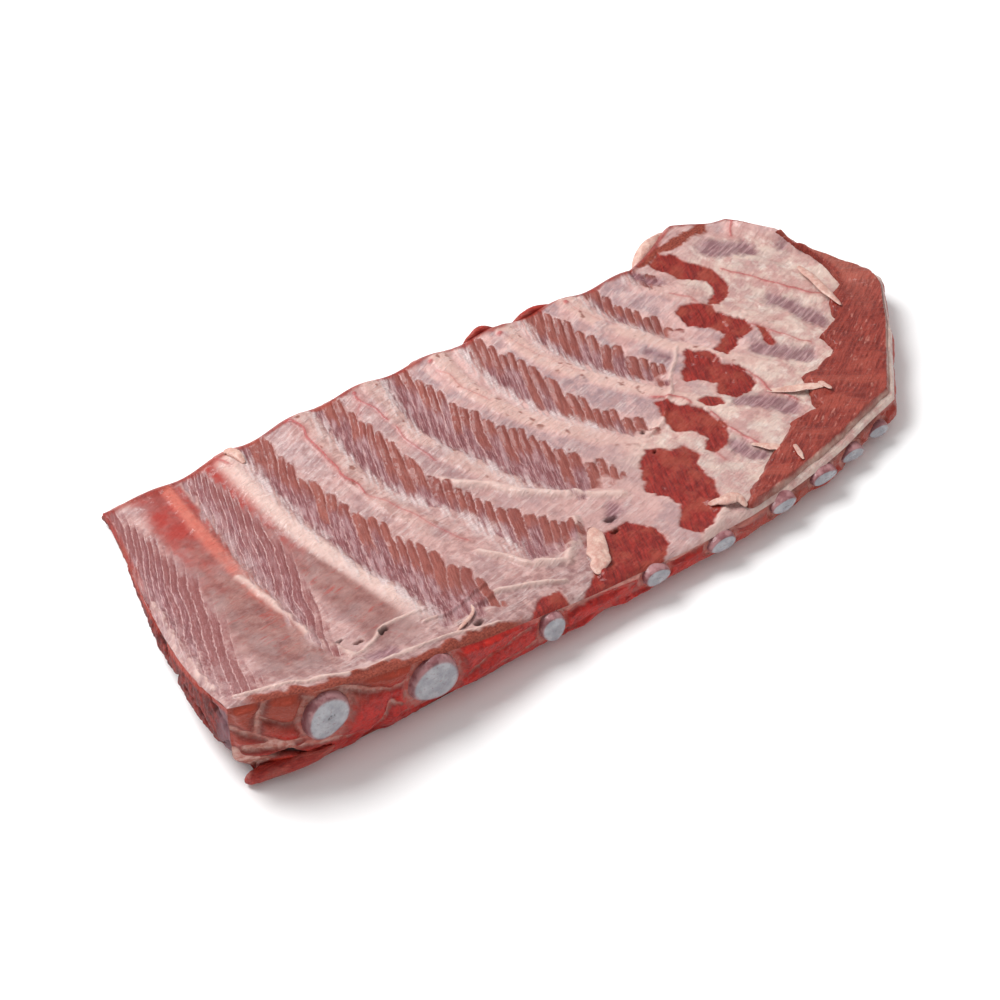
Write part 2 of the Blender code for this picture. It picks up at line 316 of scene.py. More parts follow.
def strip_masks(index, rib, across, bundle, offset, lace, fine, wisp):
    """One strip of muscle: how far each point is from the tip of its bundle, where the strip
    shows, and where frayed skin lies along its left edge."""
    left, right, end = STRIPS[index]
    filmed = index < FILMED_STRIPS
    from_left = (rib - np.interp(across, STRIP_PLACES, left)) * RIB_SPACING
    to_right = (np.interp(across, STRIP_PLACES, right) - rib) * RIB_SPACING
    # Each bundle ends in a rounded tip of its own, a random length before the next.
    centre = to_right + 0.45 * offset * BUNDLE_WIDTH / 2
    scatter = (chance(bundle, 50 + index) - 0.5) * (FILMED_TIP_SCATTER if filmed else TIP_SCATTER)
    tip = centre / math.sin(BUNDLE_SLANT) + scatter + (fine - 0.5) * 5
    half = np.sqrt(np.clip(1 - np.clip(1 - tip / TIP_LENGTH, 0, 1) ** 2, 0, 1))
    lens = smooth_step(-0.06, 0.12, half - abs(offset) ** 1.5) * (tip > 0)
    body = np.maximum(lens, smooth_step(TIP_LENGTH * 0.5, TIP_LENGTH, tip))
    if filmed:
        body = smooth_step(-2, 8, tip + (wisp - 0.5) * 10)
    torn = from_left + (wisp - 0.5) * 8 + (lace - 0.5) * 4
    fade = smooth_step(-1.6, 1.6, torn)
    inside = body * fade * smooth_step(0, 0.045, end - across + (lace - 0.5) * 0.14)
    near_edge = smooth_step(5.5, 0.5, abs(from_left + (lace - 0.5) * 4))
    near_edge = near_edge * smooth_step(0, 0.1, end - across) * (0.3 if filmed else 1.0)
    return tip, inside, near_edge * smooth_step(-6, 0, to_right)


def muscle_masks(rib, across, x, y, lace, fine):
    """Where the strips of muscle show, how each bundle looks, and how far it stands up."""
    side, along = bundle_frame(x, y)
    filmed = smooth_step(2.1, 2.0, rib)
    spacing = BUNDLE_WIDTH * (1 - FILMED_NARROWER * filmed)
    sway = (noise(x, y, BUNDLE_SWAY_LENGTH, 11) - 0.5) * BUNDLE_SWAY
    # The place in the row of bundles: whole numbers at the seams between them.
    order = (side + sway) / spacing + 0.35 * np.sin(side / 5.3)
    bundle = np.floor(order)
    offset = 2 * (order - bundle) - 1
    wisp = rough_noise(side, along * 0.14, 1.1, 41, 3)
    muscle = np.zeros_like(x)
    frost = np.zeros_like(x)
    to_tip = np.zeros_like(x)
    for index in range(len(STRIPS)):
        tip, inside, frayed = strip_masks(index, rib, across, bundle, offset, lace, fine, wisp)
        frost = np.maximum(frost, frayed)
        to_tip = np.where(inside > muscle, tip, to_tip)
        muscle = np.maximum(muscle, inside)
    crown = 1 - offset**2
    bare_length = LEAST_BARE + BARE_SPREAD * chance(bundle, 71)
    bare = smooth_step(bare_length + 8, bare_length - 6, to_tip + (wisp - 0.5) * 12)
    masks = {
        "muscle": muscle,
        "bare": bare * (1 - 0.8 * filmed),
        "seam": np.maximum(0.25 + 0.75 * chance(bundle, 72), filmed),
        "order": order,
        "deep": smooth_step(8, 30, to_tip),
        "film": smooth_step(0.50, 0.72, wisp) * smooth_step(6, 30, to_tip) * (1 - 0.5 * filmed),
        "frost": frost * smooth_step(0.38, 0.6, wisp),
        "bundle": chance(bundle, 73),
    }
    return masks, 0.9 * muscle * (crown - 0.5) * smooth_step(34, 6, to_tip)


def torn_masks(x, y, ragged):
    """Dark red meat and brown muscle where the skin has gone, and windows where it is thin."""
    red = np.zeros_like(x)
    for outline in RED_PATCHES:
        red = np.maximum(red, smooth_step(0.8, -0.5, outline_distance(x, y, outline) + ragged))
    shoulder = smooth_step(0.8, -0.8, outline_distance(x, y, SHOULDER) + ragged)
    window = np.zeros_like(x)
    for places, radius in WINDOWS:
        near = line_distance(x, y, places) - radius + ragged * 1.3
        window = np.maximum(window, smooth_step(2.4, -2.6, near))
    return red, shoulder, window * (1 - red)


def vessel_mask(x, y, wander_x, wander_y):
    """Blood vessels with a blush beside them, and spots of blood."""
    vessel = np.zeros_like(x)
    for places, radius, strength in VESSELS:
        near = line_distance(wander_x, wander_y, places)
        broken = strength * smooth_step(0.1, 0.5, rough_noise(x, y, 4, 63) + 0.15)
        core = smooth_step(radius + 0.3, radius * 0.2, near) * broken * 0.75
        blush = smooth_step(3.0, 0, near) * 0.3 * strength
        vessel = np.maximum(vessel, np.maximum(core, blush))
    for spot_rib, spot_across, radius in BLOOD_SPOTS:
        spot = ((spot_rib, spot_across), (spot_rib + SPOT_LENGTH, spot_across))
        near = line_distance(wander_x, wander_y, spot)
        vessel = np.maximum(vessel, smooth_step(radius, radius * 0.2, near) * 0.7)
    return vessel


def fold_masks(wander_x, wander_y, ragged):
    """Folds of the skin, how far they rise in millimetres, and hollows under its torn edges, which
    the material fills with painted shade.
    """
    fold = np.zeros_like(wander_x)
    rise = np.zeros_like(wander_x)
    for places, half_width, lift in FOLDS:
        crest = smooth_step(half_width, 0, line_distance(wander_x, wander_y, places))
        fold = np.maximum(fold, crest)
        rise = np.maximum(rise, lift * crest)
    shaded_hollow = np.zeros_like(wander_x)
    for hole_rib, hole_across, radius in HOLLOWS:
        far_end = (hole_rib + HOLLOW_LENGTH, hole_across - HOLLOW_LEAN)
        near = line_distance(wander_x, wander_y, ((hole_rib, hole_across), far_end))
        shaded_hollow = np.maximum(shaded_hollow, smooth_step(radius * 0.75, radius * 0.2, near + ragged * 0.5))
    return fold, rise, shaded_hollow


def skin_tones(rib, across, x, y, lace, muscle):
    """Grey film on the left of each rib, warm pink on its right, and pores in the pink."""
    place_in_rib = rib - np.round(rib)
    thoracic = smooth_step(0.75, 0.45, across) * (1 - smooth_step(7.6, 8.6, rib))
    grey = smooth_step(-0.44, -0.30, place_in_rib) * smooth_step(0.03, -0.06, place_in_rib)
    grey = grey * (0.35 + 0.65 * thoracic) * smooth_step(0.3, 0.6, rough_noise(x, y, 9, 81))
    grey = np.maximum(grey, smooth_step(0.58, 0.72, rough_noise(x, y, 14, 82)) * 0.8)
    front_film = smooth_step(0.74, 0.9, across + (lace - 0.5) * 0.1) * smooth_step(4.6, 3.9, rib)
    grey = np.maximum(grey, front_film * smooth_step(0.35, 0.6, rough_noise(x, y, 8, 83)))
    warm = smooth_step(-0.03, 0.06, place_in_rib) * smooth_step(0.32, 0.2, place_in_rib)
    warm = warm * thoracic * (1 - smooth_step(2.35, 2.05, rib))
    holes = warm * smooth_step(0.70, 0.77, rough_noise(x, y, 4.2, 84)) * (1 - muscle)
    return grey, warm, holes


def left_end_masks(rib, across, lace, hair, muscle):
    """The two ribs at the left end lie under a thinner skin: red near the sawn edge, grey further
    on. A bright strip runs along the first of them and a pale ridge along the second."""
    first = smooth_step(0.78, 0.93, rib + (lace - 0.5) * 0.15) * smooth_step(1.42, 1.34, rib)
    second_edge = rib - 0.14 * smooth_step(0.3, 0.8, across)
    second = smooth_step(1.64, 1.8, rib) * smooth_step(2.04, 1.96, second_edge)
    thin = np.maximum(first, second) * (1 - muscle) * smooth_step(0.98, 0.84, across)
    rosy = thin * smooth_step(0.58, 0.10, across + (lace - 0.5) * 0.4)
    hairs = smooth_step(0.66, 0.78, hair) * smooth_step(0.4, 0.6, across)
    rosy = np.maximum(rosy, thin * 0.6 * hairs)
    strip_line = 1.21 + 0.10 * smooth_step(0.1, 0.8, across)
    bright = smooth_step(0.12, 0.03, abs(rib - strip_line)) * smooth_step(0.93, 0.8, across)
    bright = bright * smooth_step(0.85, 0.2, across + (lace - 0.5) * 0.3)
    ridge_line = 2.0 + 0.26 * smooth_step(0.05, 0.8, across)
    ridge = smooth_step(0.19, 0.03, abs(rib - ridge_line)) * smooth_step(0.95, 0.7, across)
    return thin, rosy, bright, ridge * smooth_step(0.0, 0.05, across)


def inner_masks(rib, across, x, y):
    """Where each tissue shows on the inner side, as named values, and its relief in millimetres."""
    lace = rough_noise(x, y, 5, 21)
    fine = rough_noise(x, y, 1.6, 31, 3)
    ragged = (lace - 0.5) * 3.4 + (fine - 0.5) * 1.6
    hair_side = y * math.cos(HAIR_TURN) - x * math.sin(HAIR_TURN)
    hair_along = x * math.cos(HAIR_TURN) + y * math.sin(HAIR_TURN)
    hair = rough_noise(hair_side, hair_along * 0.16, 1.1, 42, 3)
    wander_x = x + (noise(x, y, WANDER_LENGTH, 61) - 0.5) * WANDER
    wander_y = y + (noise(x, y, WANDER_LENGTH, 62) - 0.5) * WANDER

    masks, crowns = muscle_masks(rib, across, x, y, lace, fine)
    muscle = masks["muscle"]
    red, shoulder, window = torn_masks(x, y, ragged)
    vessel = vessel_mask(x, y, wander_x, wander_y)
    fold, rise, shaded_hollow = fold_masks(wander_x, wander_y, ragged)
    grey, warm, holes = skin_tones(rib, across, x, y, lace, muscle)
    thin, rosy, bright, ridge = left_end_masks(rib, across, lace, hair, muscle)

    # The saw left red meat along the back edge and at the back of the left end.
    sawn_width = 0.018 + 0.03 * noise(x, y, 14, 85)
    sawn = smooth_step(sawn_width, sawn_width * 0.4, across + (lace - 0.5) * 0.02)
    sawn_end = smooth_step(0.05, 0.02, rib - LEFT_END) * smooth_step(0.45, 0.2, across)
    sawn = np.maximum(sawn, sawn_end)
    # Along the front cut of the thick end the meat shows past the edge of the skin.
    lip = smooth_step(0.972, 0.984, across + (lace - 0.5) * 0.04) * smooth_step(0.62, 0.72, rib)
    lip = lip * smooth_step(3.0, 2.8, rib)
    cartilage_start = 0.09 * smooth_step(6.5, 4.5, rib) - 0.40 * smooth_step(7.6, 8.6, rib)
    cartilage = smooth_step(0.46, 0.62, across - cartilage_start) * smooth_step(4.4, 5.2, rib)
    shade = smooth_step(5.6, 3.4, rib + (rough_noise(x, y, 20, 86) - 0.5) * 1.6)
    shade = np.maximum(shade * 0.75, smooth_step(0.62, 0.9, across) * smooth_step(4.8, 3.6, rib))

    # Muscle, red patches and hollows lie deep, and warm skin, strips, ridges and folds stand up.
    relief = crowns - 0.7 * muscle + 0.3 * (hair - 0.5) * (1 - muscle) + 0.4 * masks["frost"]
    relief = relief + 0.7 * warm + 1.2 * ridge + 0.9 * bright + 0.5 * smooth_step(0.2, 0.8, vessel)
    relief = relief - 0.7 * red + 1.2 * red * (lace - 0.3) - 0.5 * window + rise - 2.5 * shaded_hollow
    relief = relief + 2.0 * (rough_noise(x, y, 18, 91) - 0.5) + 0.5 * (lace - 0.5) * (1 - muscle)
    relief = relief + 0.3 * (fine - 0.5)

    clear = (1 - red) * (1 - shoulder)
    masks["muscle"] = muscle * clear
    masks["hair"] = hair * (1 - cartilage)
    masks["cartilage"] = cartilage
    masks["shade"] = shade
    masks["red"] = np.maximum(red, sawn * 0.8)
    masks["shoulder"] = np.maximum(np.maximum(shoulder, lip), sawn * 0.5)
    masks["window"] = window
    masks["vessel"] = vessel * (1 - muscle * 0.8) * clear
    masks["grey"] = grey * clear * (1 - 0.7 * cartilage)
    masks["warm"] = warm * clear
    masks["holes"] = holes * clear
    masks["thin"] = thin
    masks["rosy"] = rosy
    masks["bright"] = bright
    masks["fold"] = np.maximum(ridge, fold) * clear
    masks["shaded_hollow"] = shaded_hollow
    return masks, relief


def rib_waves(rib, across):
    """The ribs stand up from the meat between them, less so towards the front edge."""
    wave = (np.cos(2 * math.pi * rib) - 1) / 2 * smooth_step(9.6, 9.3, rib)
    return WAVE_HEIGHT * (1 - 0.6 * np.clip(across, 0, 1)) * wave


def rim_drop(rib, across):
    """How far the inner side rounds down near the rim."""
    to_rim = np.minimum(across, 1 - across) * RACK_WIDTH
    to_rim = np.minimum(to_rim, (rib - LEFT_END) * LEFT_SPACING)
    to_rim = np.minimum(to_rim, (RIGHT_END - rib) * RIGHT_SPACING)
    share = np.clip(1 - to_rim / RIM_ROUNDING, 0, 1)
    return RIM_ROUNDING * RIM_DROP * share**2


def inner_surface(rib, across):
    """Points of the inner side, and its masks. The relief fades out at the cut edges."""
    x, y = plan(rib, across)
    masks, relief = inner_masks(rib, across, x, y)
    to_edge = np.minimum(across, 1 - across) * RACK_WIDTH
    z = height(rib, across) + rib_waves(rib, across) + relief * smooth_step(0, 4, to_edge)
    return (x, y, z - rim_drop(rib, across)), masks


def colour(red, green, blue):
    """A linear colour from values as a screen shows them, 0 to 255."""
    shares = [value / 255 for value in (red, green, blue)]
    linear = [s / 12.92 if s <= 0.04045 else ((s + 0.055) / 1.055) ** 2.4 for s in shares]
    return (*linear, 1.0)


class Value:
    """A shader socket that can be written in sums: each operator adds a Math node."""

    def __init__(self, tree, socket):
        self.tree = tree
        self.socket = socket

    def put(self, target, value):
        if isinstance(value, Value):
            self.tree.links.new(value.socket, target)
        else:
            target.default_value = value

    def node(self, kind, settings=None, output=0, **values):
        """Adds a node. Values name its inputs, with _ for a space, or give a number as in i0."""
        made = self.tree.nodes.new(kind)
        for key, setting in (settings or {}).items():
            setattr(made, key, setting)
        for key, value in values.items():
            index = int(key[1:]) if key[1:].isdigit() else key.replace("_", " ")
            self.put(made.inputs[index], value)
        return Value(self.tree, made.outputs[output])

    def math(self, operation, first, second=0.0):
        return self.node("ShaderNodeMath", {"operation": operation}, i0=first, i1=second)

    def __add__(self, other):
        return self.math("ADD", self, other)

    __radd__ = __add__

    def __sub__(self, other):
        return self.math("SUBTRACT", self, other)

    def __rsub__(self, other):
        return self.math("SUBTRACT", other, self)

    def __mul__(self, other):
        return self.math("MULTIPLY", self, other)

    __rmul__ = __mul__

    def between(self, low, high):
        """0 below low, 1 above high, smooth between."""
        return self.node(
            "ShaderNodeMapRange", {"interpolation_type": "SMOOTHSTEP"},
            i0=self, i1=low, i2=high, i3=0.0, i4=1.0,
        )

    def blend(self, first, second):
        """The first colour where this is 0 and the second where it is 1."""
        settings = {"data_type": "RGBA"}
        return self.node("ShaderNodeMix", settings, output=2, i0=self, i6=first, i7=second)


WET_ROUGHNESS = 0.14
DULL_SHINE = 0.25
# How far red, green and blue light spread under the surface, as shares of a depth in millimetres.
REDNESS_UNDER_SKIN = (1.0, 0.35, 0.25)
LIGHT_DEPTH = 2.5


class Look:
    """A material under construction, with the textures that meat needs."""

    def __init__(self, name):
        self.material = bpy.data.materials.new(name)
        self.material.use_nodes = True
        self.tree = self.material.node_tree
        self.shader = self.tree.nodes["Principled BSDF"]
        self.start = Value(self.tree, None)
        self.place = self.start.node("ShaderNodeTexCoord", output=3)

    def mask(self, name):
        return self.start.node("ShaderNodeAttribute", {"attribute_name": name}, output=2)

    def speckle(self, size, detail=4.0, stretch=(1, 1, 1), turn=0.0, roughness=0.6):
        """Noise with lumps of about this size in millimetres, stretched along turned axes."""
        settings = {"vector_type": "TEXTURE"}
        turned = self.start.node(
            "ShaderNodeMapping", settings, i0=self.place, i2=(0, 0, turn), i3=stretch
        )
        return self.start.node(
            "ShaderNodeTexNoise", i0=turned, i2=1 / (size * MM), i3=detail, i4=roughness
        )

    def finish(self, base, roughness, bump, bump_depth, coat=0.0, subsurface=0.0):
        """Connects colour, roughness and the height for the bump, whose depth is in millimetres.
        The coat is the wet film over the meat."""
        normal = self.start.node("ShaderNodeBump", i0=1.0, i1=bump_depth * MM, i3=bump)
        self.start.put(self.shader.inputs["Base Color"], base)
        self.start.put(self.shader.inputs["Roughness"], roughness)
        self.start.put(self.shader.inputs["Normal"], normal)
        self.start.put(self.shader.inputs["Coat Weight"], coat)
        self.shader.inputs["Coat Roughness"].default_value = WET_ROUGHNESS
        self.shader.inputs["Specular IOR Level"].default_value = DULL_SHINE
        self.shader.inputs["Subsurface Weight"].default_value = subsurface
        self.shader.inputs["Subsurface Radius"].default_value = REDNESS_UNDER_SKIN
        self.shader.inputs["Subsurface Scale"].default_value = LIGHT_DEPTH * MM
        return self.material


look = Look("chest_skin_and_muscle")
muscle = look.mask("muscle")
hair = look.mask("hair")
cloud = look.speckle(9, 4)
mottle = look.speckle(3.2, 5)
grain = look.speckle(0.8, 3)
fibre = look.speckle(0.8, 4, (1, 9, 3), -BUNDLE_SLANT)
thread = look.speckle(0.5, 3, (1, 14, 3), -BUNDLE_SLANT).between(0.5, 0.66)
strand = look.speckle(0.6, 4, (8, 1, 3), HAIR_TURN).between(0.42, 0.66)
skin = cloud.between(0.35, 0.65).blend(colour(216, 174, 168), colour(192, 148, 143))
veil = look.speckle(5, 5).between(0.5, 0.75)
plate = cloud.between(0.4, 0.62).blend(colour(216, 190, 178), colour(196, 152, 145))
skin = look.mask("cartilage").blend(skin, veil.blend(plate, colour(226, 208, 198)))
skin = (look.mask("warm") * 0.8).blend(skin, mottle.blend(colour(202, 158, 147), colour(220, 188, 178)))
skin = (look.mask("grey") * (0.5 + 0.5 * mottle.between(0.35, 0.6))).blend(skin, colour(158, 130, 133))
uneven = (mottle * 0.5 + cloud * 0.5).between(0.42, 0.58)
skin = (look.mask("shade") * 0.75).blend(skin, uneven.blend(colour(134, 90, 88), colour(190, 152, 146)))
skin = (hair.between(0.5, 0.72) * (0.15 + 0.25 * strand)).blend(skin, colour(230, 210, 206))
skin = (mottle.between(0.52, 0.7) * 0.3).blend(skin, colour(176, 130, 127))
thin = cloud.between(0.3, 0.7).blend(colour(122, 70, 66), colour(154, 108, 101))
thin = (mottle.between(0.45, 0.7) * 0.35).blend(thin, colour(168, 130, 124))
thin = (look.mask("grey") * 0.6).blend(thin, colour(158, 130, 127))
skin = look.mask("thin").blend(skin, thin)
skin = (look.mask("rosy") * (0.55 + 0.45 * cloud.between(0.35, 0.6))).blend(skin, colour(160, 50, 42))
skin = (look.mask("bright") * 0.85).blend(skin, mottle.blend(colour(190, 80, 64), colour(208, 130, 114)))
skin = (look.mask("fold") * 0.85).blend(skin, mottle.blend(colour(206, 168, 158), colour(224, 198, 189)))
skin = (look.mask("holes") * 0.8).blend(skin, colour(130, 70, 56))
clean_muscle = fibre.between(0.3, 0.7).blend(colour(124, 60, 51), colour(152, 84, 73))
clean_muscle = (look.mask("bundle") * 0.45).blend(clean_muscle, colour(116, 48, 44))
mauve = fibre.between(0.3, 0.7).blend(colour(92, 42, 47), colour(138, 84, 88))
lean = (look.mask("deep") * 0.6).blend(colour(124, 68, 68), mauve)
lean = (thread * (0.25 + 0.35 * look.mask("deep"))).blend(lean, colour(186, 148, 149))
lean = (look.mask("film") * 0.6).blend(lean, colour(182, 146, 148))
strip = look.mask("bare").blend(lean, clean_muscle)
order = look.mask("order") + (look.speckle(3, 3) - 0.5) * 0.5
offset = order.math("ABSOLUTE", order.math("FRACT", order) - 0.5)
edge = offset.between(0.39, 0.48) * look.mask("seam")
strip = (edge * (0.2 + 0.5 * mottle.between(0.35, 0.6))).blend(strip, colour(204, 166, 163))
base = muscle.blend(skin, strip)
base = (look.mask("frost") * (0.45 + 0.4 * strand)).blend(base, colour(222, 204, 201))
lines = look.speckle(1.2, 3, (1, 12, 3), math.radians(-70)).between(0.45, 0.62)
dim = lines.blend(colour(122, 78, 86), colour(166, 126, 131))
base = (look.mask("window") * (0.7 + 0.3 * mottle)).blend(base, dim)
dark_meat = fibre.between(0.3, 0.7).blend(colour(104, 14, 12), colour(156, 40, 30))
dark_meat = cloud.between(0.45, 0.65).blend(dark_meat, colour(150, 58, 43))
dark_meat = (grain.between(0.62, 0.75) * 0.4).blend(dark_meat, colour(178, 100, 86))
brown_meat = grain.between(0.3, 0.7).blend(colour(116, 42, 28), colour(156, 72, 54))
base = look.mask("shoulder").blend(base, brown_meat)
base = look.mask("red").blend(base, dark_meat)
base = look.mask("vessel").blend(base, colour(170, 42, 44))
# Painted shade: the hollows under torn skin are darkened nearly to black.
base = (look.mask("shaded_hollow") * 0.75).blend(base, colour(52, 18, 18))
wet = look.speckle(2.4, 6)
gloss = 0.46 + 0.2 * mottle - 0.16 * muscle - 0.16 * look.mask("cartilage")
height_map = wet * 0.6 + fibre * 0.5 * muscle + grain * 0.25 + strand * 0.2 * (1 - muscle)
inner_look = look.finish(base, gloss, height_map, 0.85, coat=0.25, subsurface=0.08)


def grid_piece(name, columns, rows, shape):
    """A grid of quads as a new object. shape gives points in millimetres and named masks for the
    shares across its columns and rows, and the masks become attributes for its material."""
    bpy.ops.object.select_all(action="DESELECT")
    bpy.ops.mesh.primitive_grid_add(x_subdivisions=columns, y_subdivisions=rows, size=1)
    piece = bpy.context.object
    piece.name = name
    mesh = piece.data
    mesh.name = name
    flat = np.empty(len(mesh.vertices) * 3)
    mesh.vertices.foreach_get("co", flat)
    flat = flat.reshape(-1, 3) + 0.5
    points, masks = shape(flat[:, 0], flat[:, 1])
    mesh.vertices.foreach_set("co", (np.stack(points, axis=1) * MM).ravel())
    for mask, values in masks.items():
        layer = mesh.attributes.new(mask, "FLOAT", "POINT")
        layer.data.foreach_set("value", values.astype(np.float32))
    mesh.update()
    bpy.ops.object.shade_smooth()
    return piece


def face_outward(piece, upward):
    """Turns the faces of an open sheet round if they don't look the way upward points."""
    normals = np.empty(len(piece.data.polygons) * 3)
    piece.data.polygons.foreach_get("normal", normals)
    if normals.reshape(-1, 3).sum(axis=0) @ np.array(upward) < 0:
        bpy.ops.object.select_all(action="DESELECT")
        piece.select_set(True)
        bpy.context.view_layer.objects.active = piece
        bpy.ops.object.mode_set(mode="EDIT")
        bpy.ops.mesh.select_all(action="SELECT")
        bpy.ops.mesh.flip_normals()
        bpy.ops.object.mode_set(mode="OBJECT")


# The panels meet in the meat between ribs.
PANEL_ENDS = (LEFT_END, 3.7, 6.85, RIGHT_END)
for panel, (start, end) in enumerate(zip(PANEL_ENDS, PANEL_ENDS[1:])):
    columns = round((end - start) * INNER_COLUMNS_PER_RIB)
    inner = grid_piece(
        f"inner_side_{panel + 1}", columns, INNER_ROWS,
        lambda u, v: inner_surface(mix(start, end, u), v),
    )
    face_outward(inner, (0, 0, 1))
    inner.data.materials.append(inner_look)
    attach(inner, "root")
    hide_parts("meat")

# ---------------------------------------------------------------------------------------------
# Cut sides. The knife went through red lobes of meat with seams of white fat between them. One
# band runs along the front, one along the left end and one round the back and the right end.
# ---------------------------------------------------------------------------------------------
SIDE_BULGE = 2.0
LEFT_BULGE = 1.4
# Millimetres along the rim for each unit of rim_place.
RIM_LENGTH = 376
# The sides lean in below to the underside, by this many ribs and this share across.
INSET_RIBS = 0.14
INSET_ACROSS = 0.033
# The red lobes of the front, and the long layers of the left end with how far they bend.
LOBE_LENGTH = 40
LOBE_HEIGHT = 8
LAYER_LENGTH = 150
LAYER_HEIGHT = 17
LAYER_BEND = 16
# The front turns into the right end, and the back into the left end, within this much of the rim.
TURN = 0.02
NO_SEAM_NEAR = 9.0
# Rib number of the place where each cartilage comes out of the front, and its half width, half
# height and the depth of meat above it.
CARTILAGE_PLACE = (1.06, 2.02, 3.14, 4.08, 4.70, 5.40, 5.96, 6.56, 7.14)
CARTILAGE_HALF_WIDTH = (9.5, 11.0, 6.0, 7.0, 7.5, 7.0, 7.0, 6.5, 6.0)
CARTILAGE_HALF_HEIGHT = (12.0, 11.5, 7.5, 4.5, 4.0, 3.8, 3.8, 3.8, 3.8)
FRONT_COVER = (3.0, 1.2, 1.6, 1.2, 2.3, 1.4, 1.2, 4.0, 5.0)
# Seams of fat in the front cut: rib number and height of the places each passes, and half width.
FRONT_SEAMS = (
    (((0.76, 46), (0.71, 38), (0.68, 27)), 0.5),
    (((0.70, 36), (0.83, 30), (0.93, 31)), 0.4),
    (((0.56, 33), (0.68, 27), (0.81, 19), (0.93, 20)), 0.6),
    (((0.64, 21), (0.74, 20), (0.84, 18)), 1.6),
    (((0.56, 19), (0.60, 15), (0.70, 11), (0.62, 7)), 2.8),
    (((0.93, 42), (0.98, 38)), 0.4),
    (((0.70, 12), (0.93, 17), (1.12, 14), (1.30, 10)), 1.0),
    (((1.22, 39), (1.45, 31), (1.62, 27), (1.84, 26)), 0.7),
    (((1.46, 3), (1.55, 12), (1.62, 20), (1.72, 16)), 0.6),
    (((1.72, 10), (1.95, 5), (2.25, 6)), 0.5),
    (((2.15, 3), (2.5, 8), (3.0, 10)), 0.3),
    (((2.3, 13), (2.6, 17), (2.95, 19)), 0.3),
    (((3.3, 8), (3.6, 10), (3.9, 9)), 0.4),
    (((4.2, 14), (4.6, 13), (5.1, 15), (5.8, 14.5), (6.6, 15), (7.2, 15.5)), 1.0),
)
# The slit above the loose flap at the bottom, in the same form. It is sunk in and filled with
# painted shade.
FRONT_SLIT = (((0.72, 14), (0.82, 14), (0.92, 12), (1.06, 11)), 1.0)


def rim_place(along):
    """Place on the rim of the rack: 0 to 1 front edge, 1 to 2 right end, 2 to 3 back edge from
    right to left, 3 to 4 left end from back to front."""
    along = np.asarray(along)
    rib = np.where(along < 1, mix(LEFT_END, RIGHT_END, along), RIGHT_END)
    rib = np.where(along > 2, mix(RIGHT_END, LEFT_END, along - 2), rib)
    rib = np.where(along > 3, LEFT_END, rib)
    across = np.where(along < 1, 1.0, 2 - along)
    across = np.where(along > 2, 0.0, across)
    across = np.where(along > 3, along - 3, across)
    return rib, np.clip(across, 0, 1)


CELL_LATTICE = 64
CELL_START_X = 17
CELL_START_Y = 23


def cells(x, y, size_x, size_y, seed):
    """Random cells: how far each point is from the border of its cell, and a random value per
    cell. Distances are in cells."""
    random = np.random.RandomState(seed).rand(CELL_LATTICE, CELL_LATTICE, 3)
    x = np.asarray(x) / size_x + CELL_START_X
    y = np.asarray(y) / size_y + CELL_START_Y
    nearest = np.full(np.shape(x), 9.0)
    second = np.full(np.shape(x), 9.0)
    value = np.zeros(np.shape(x))
    for step_x in (-1, 0, 1):
        for step_y in (-1, 0, 1):
            column = np.floor(x).astype(int) + step_x
            row = np.floor(y).astype(int) + step_y
            jitter = random[column % CELL_LATTICE, row % CELL_LATTICE]
            distance = np.hypot(x - column - jitter[..., 0], y - row - jitter[..., 1])
            closer = distance < nearest
            second = np.where(closer, nearest, np.minimum(second, distance))
            value = np.where(closer, jitter[..., 2], value)
            nearest = np.where(closer, distance, nearest)
    return second - nearest, value


def cartilage_ring(x, level):
    """1 close round the cut end of each cartilage in the front face, 0 away from it."""
    ring = np.zeros(np.shape(x))
    for index, place in enumerate(CARTILAGE_PLACE):
        end_x = plan(place, 1.0)[0]
        end_z = height(place, 1.0) - FRONT_COVER[index] - CARTILAGE_HALF_HEIGHT[index]
        wide = (x - end_x) / CARTILAGE_HALF_WIDTH[index]
        high = (level - end_z) / CARTILAGE_HALF_HEIGHT[index]
        ring = np.maximum(ring, smooth_step(1.42, 1.12, np.hypot(wide, high)))
    return ring


def fat_seams(x, level, wiggle, in_front):
    """Distance to the nearest seam of fat in the front cut, how strongly the seams show, and the
    slit above the loose flap, which painted shade fills."""
    seams = np.full(np.shape(x), NO_SEAM_NEAR)
    strong = np.zeros(np.shape(x))
    for places, half_width in FRONT_SEAMS:
        corners = [(plan(place, 1.0)[0], seam_level) for place, seam_level in places]
        near = path_distance(x, level, corners) - half_width + wiggle
        seams = np.minimum(seams, near)
        weight = min(0.45 + 0.3 * half_width, 1)
        strong = np.maximum(strong, smooth_step(0.9, -0.3, near) * weight)
    slit_places, slit_width = FRONT_SLIT
    corners = [(plan(place, 1.0)[0], slit_level) for place, slit_level in slit_places]
    near_slit = path_distance(x, level, corners) - slit_width + wiggle * 0.5
    shaded_slit = smooth_step(0.8, -0.2, near_slit)
    seams = np.where(in_front, seams, NO_SEAM_NEAR)
    return seams, np.where(in_front, strong, 0.0), np.where(in_front, shaded_slit, 0.0)


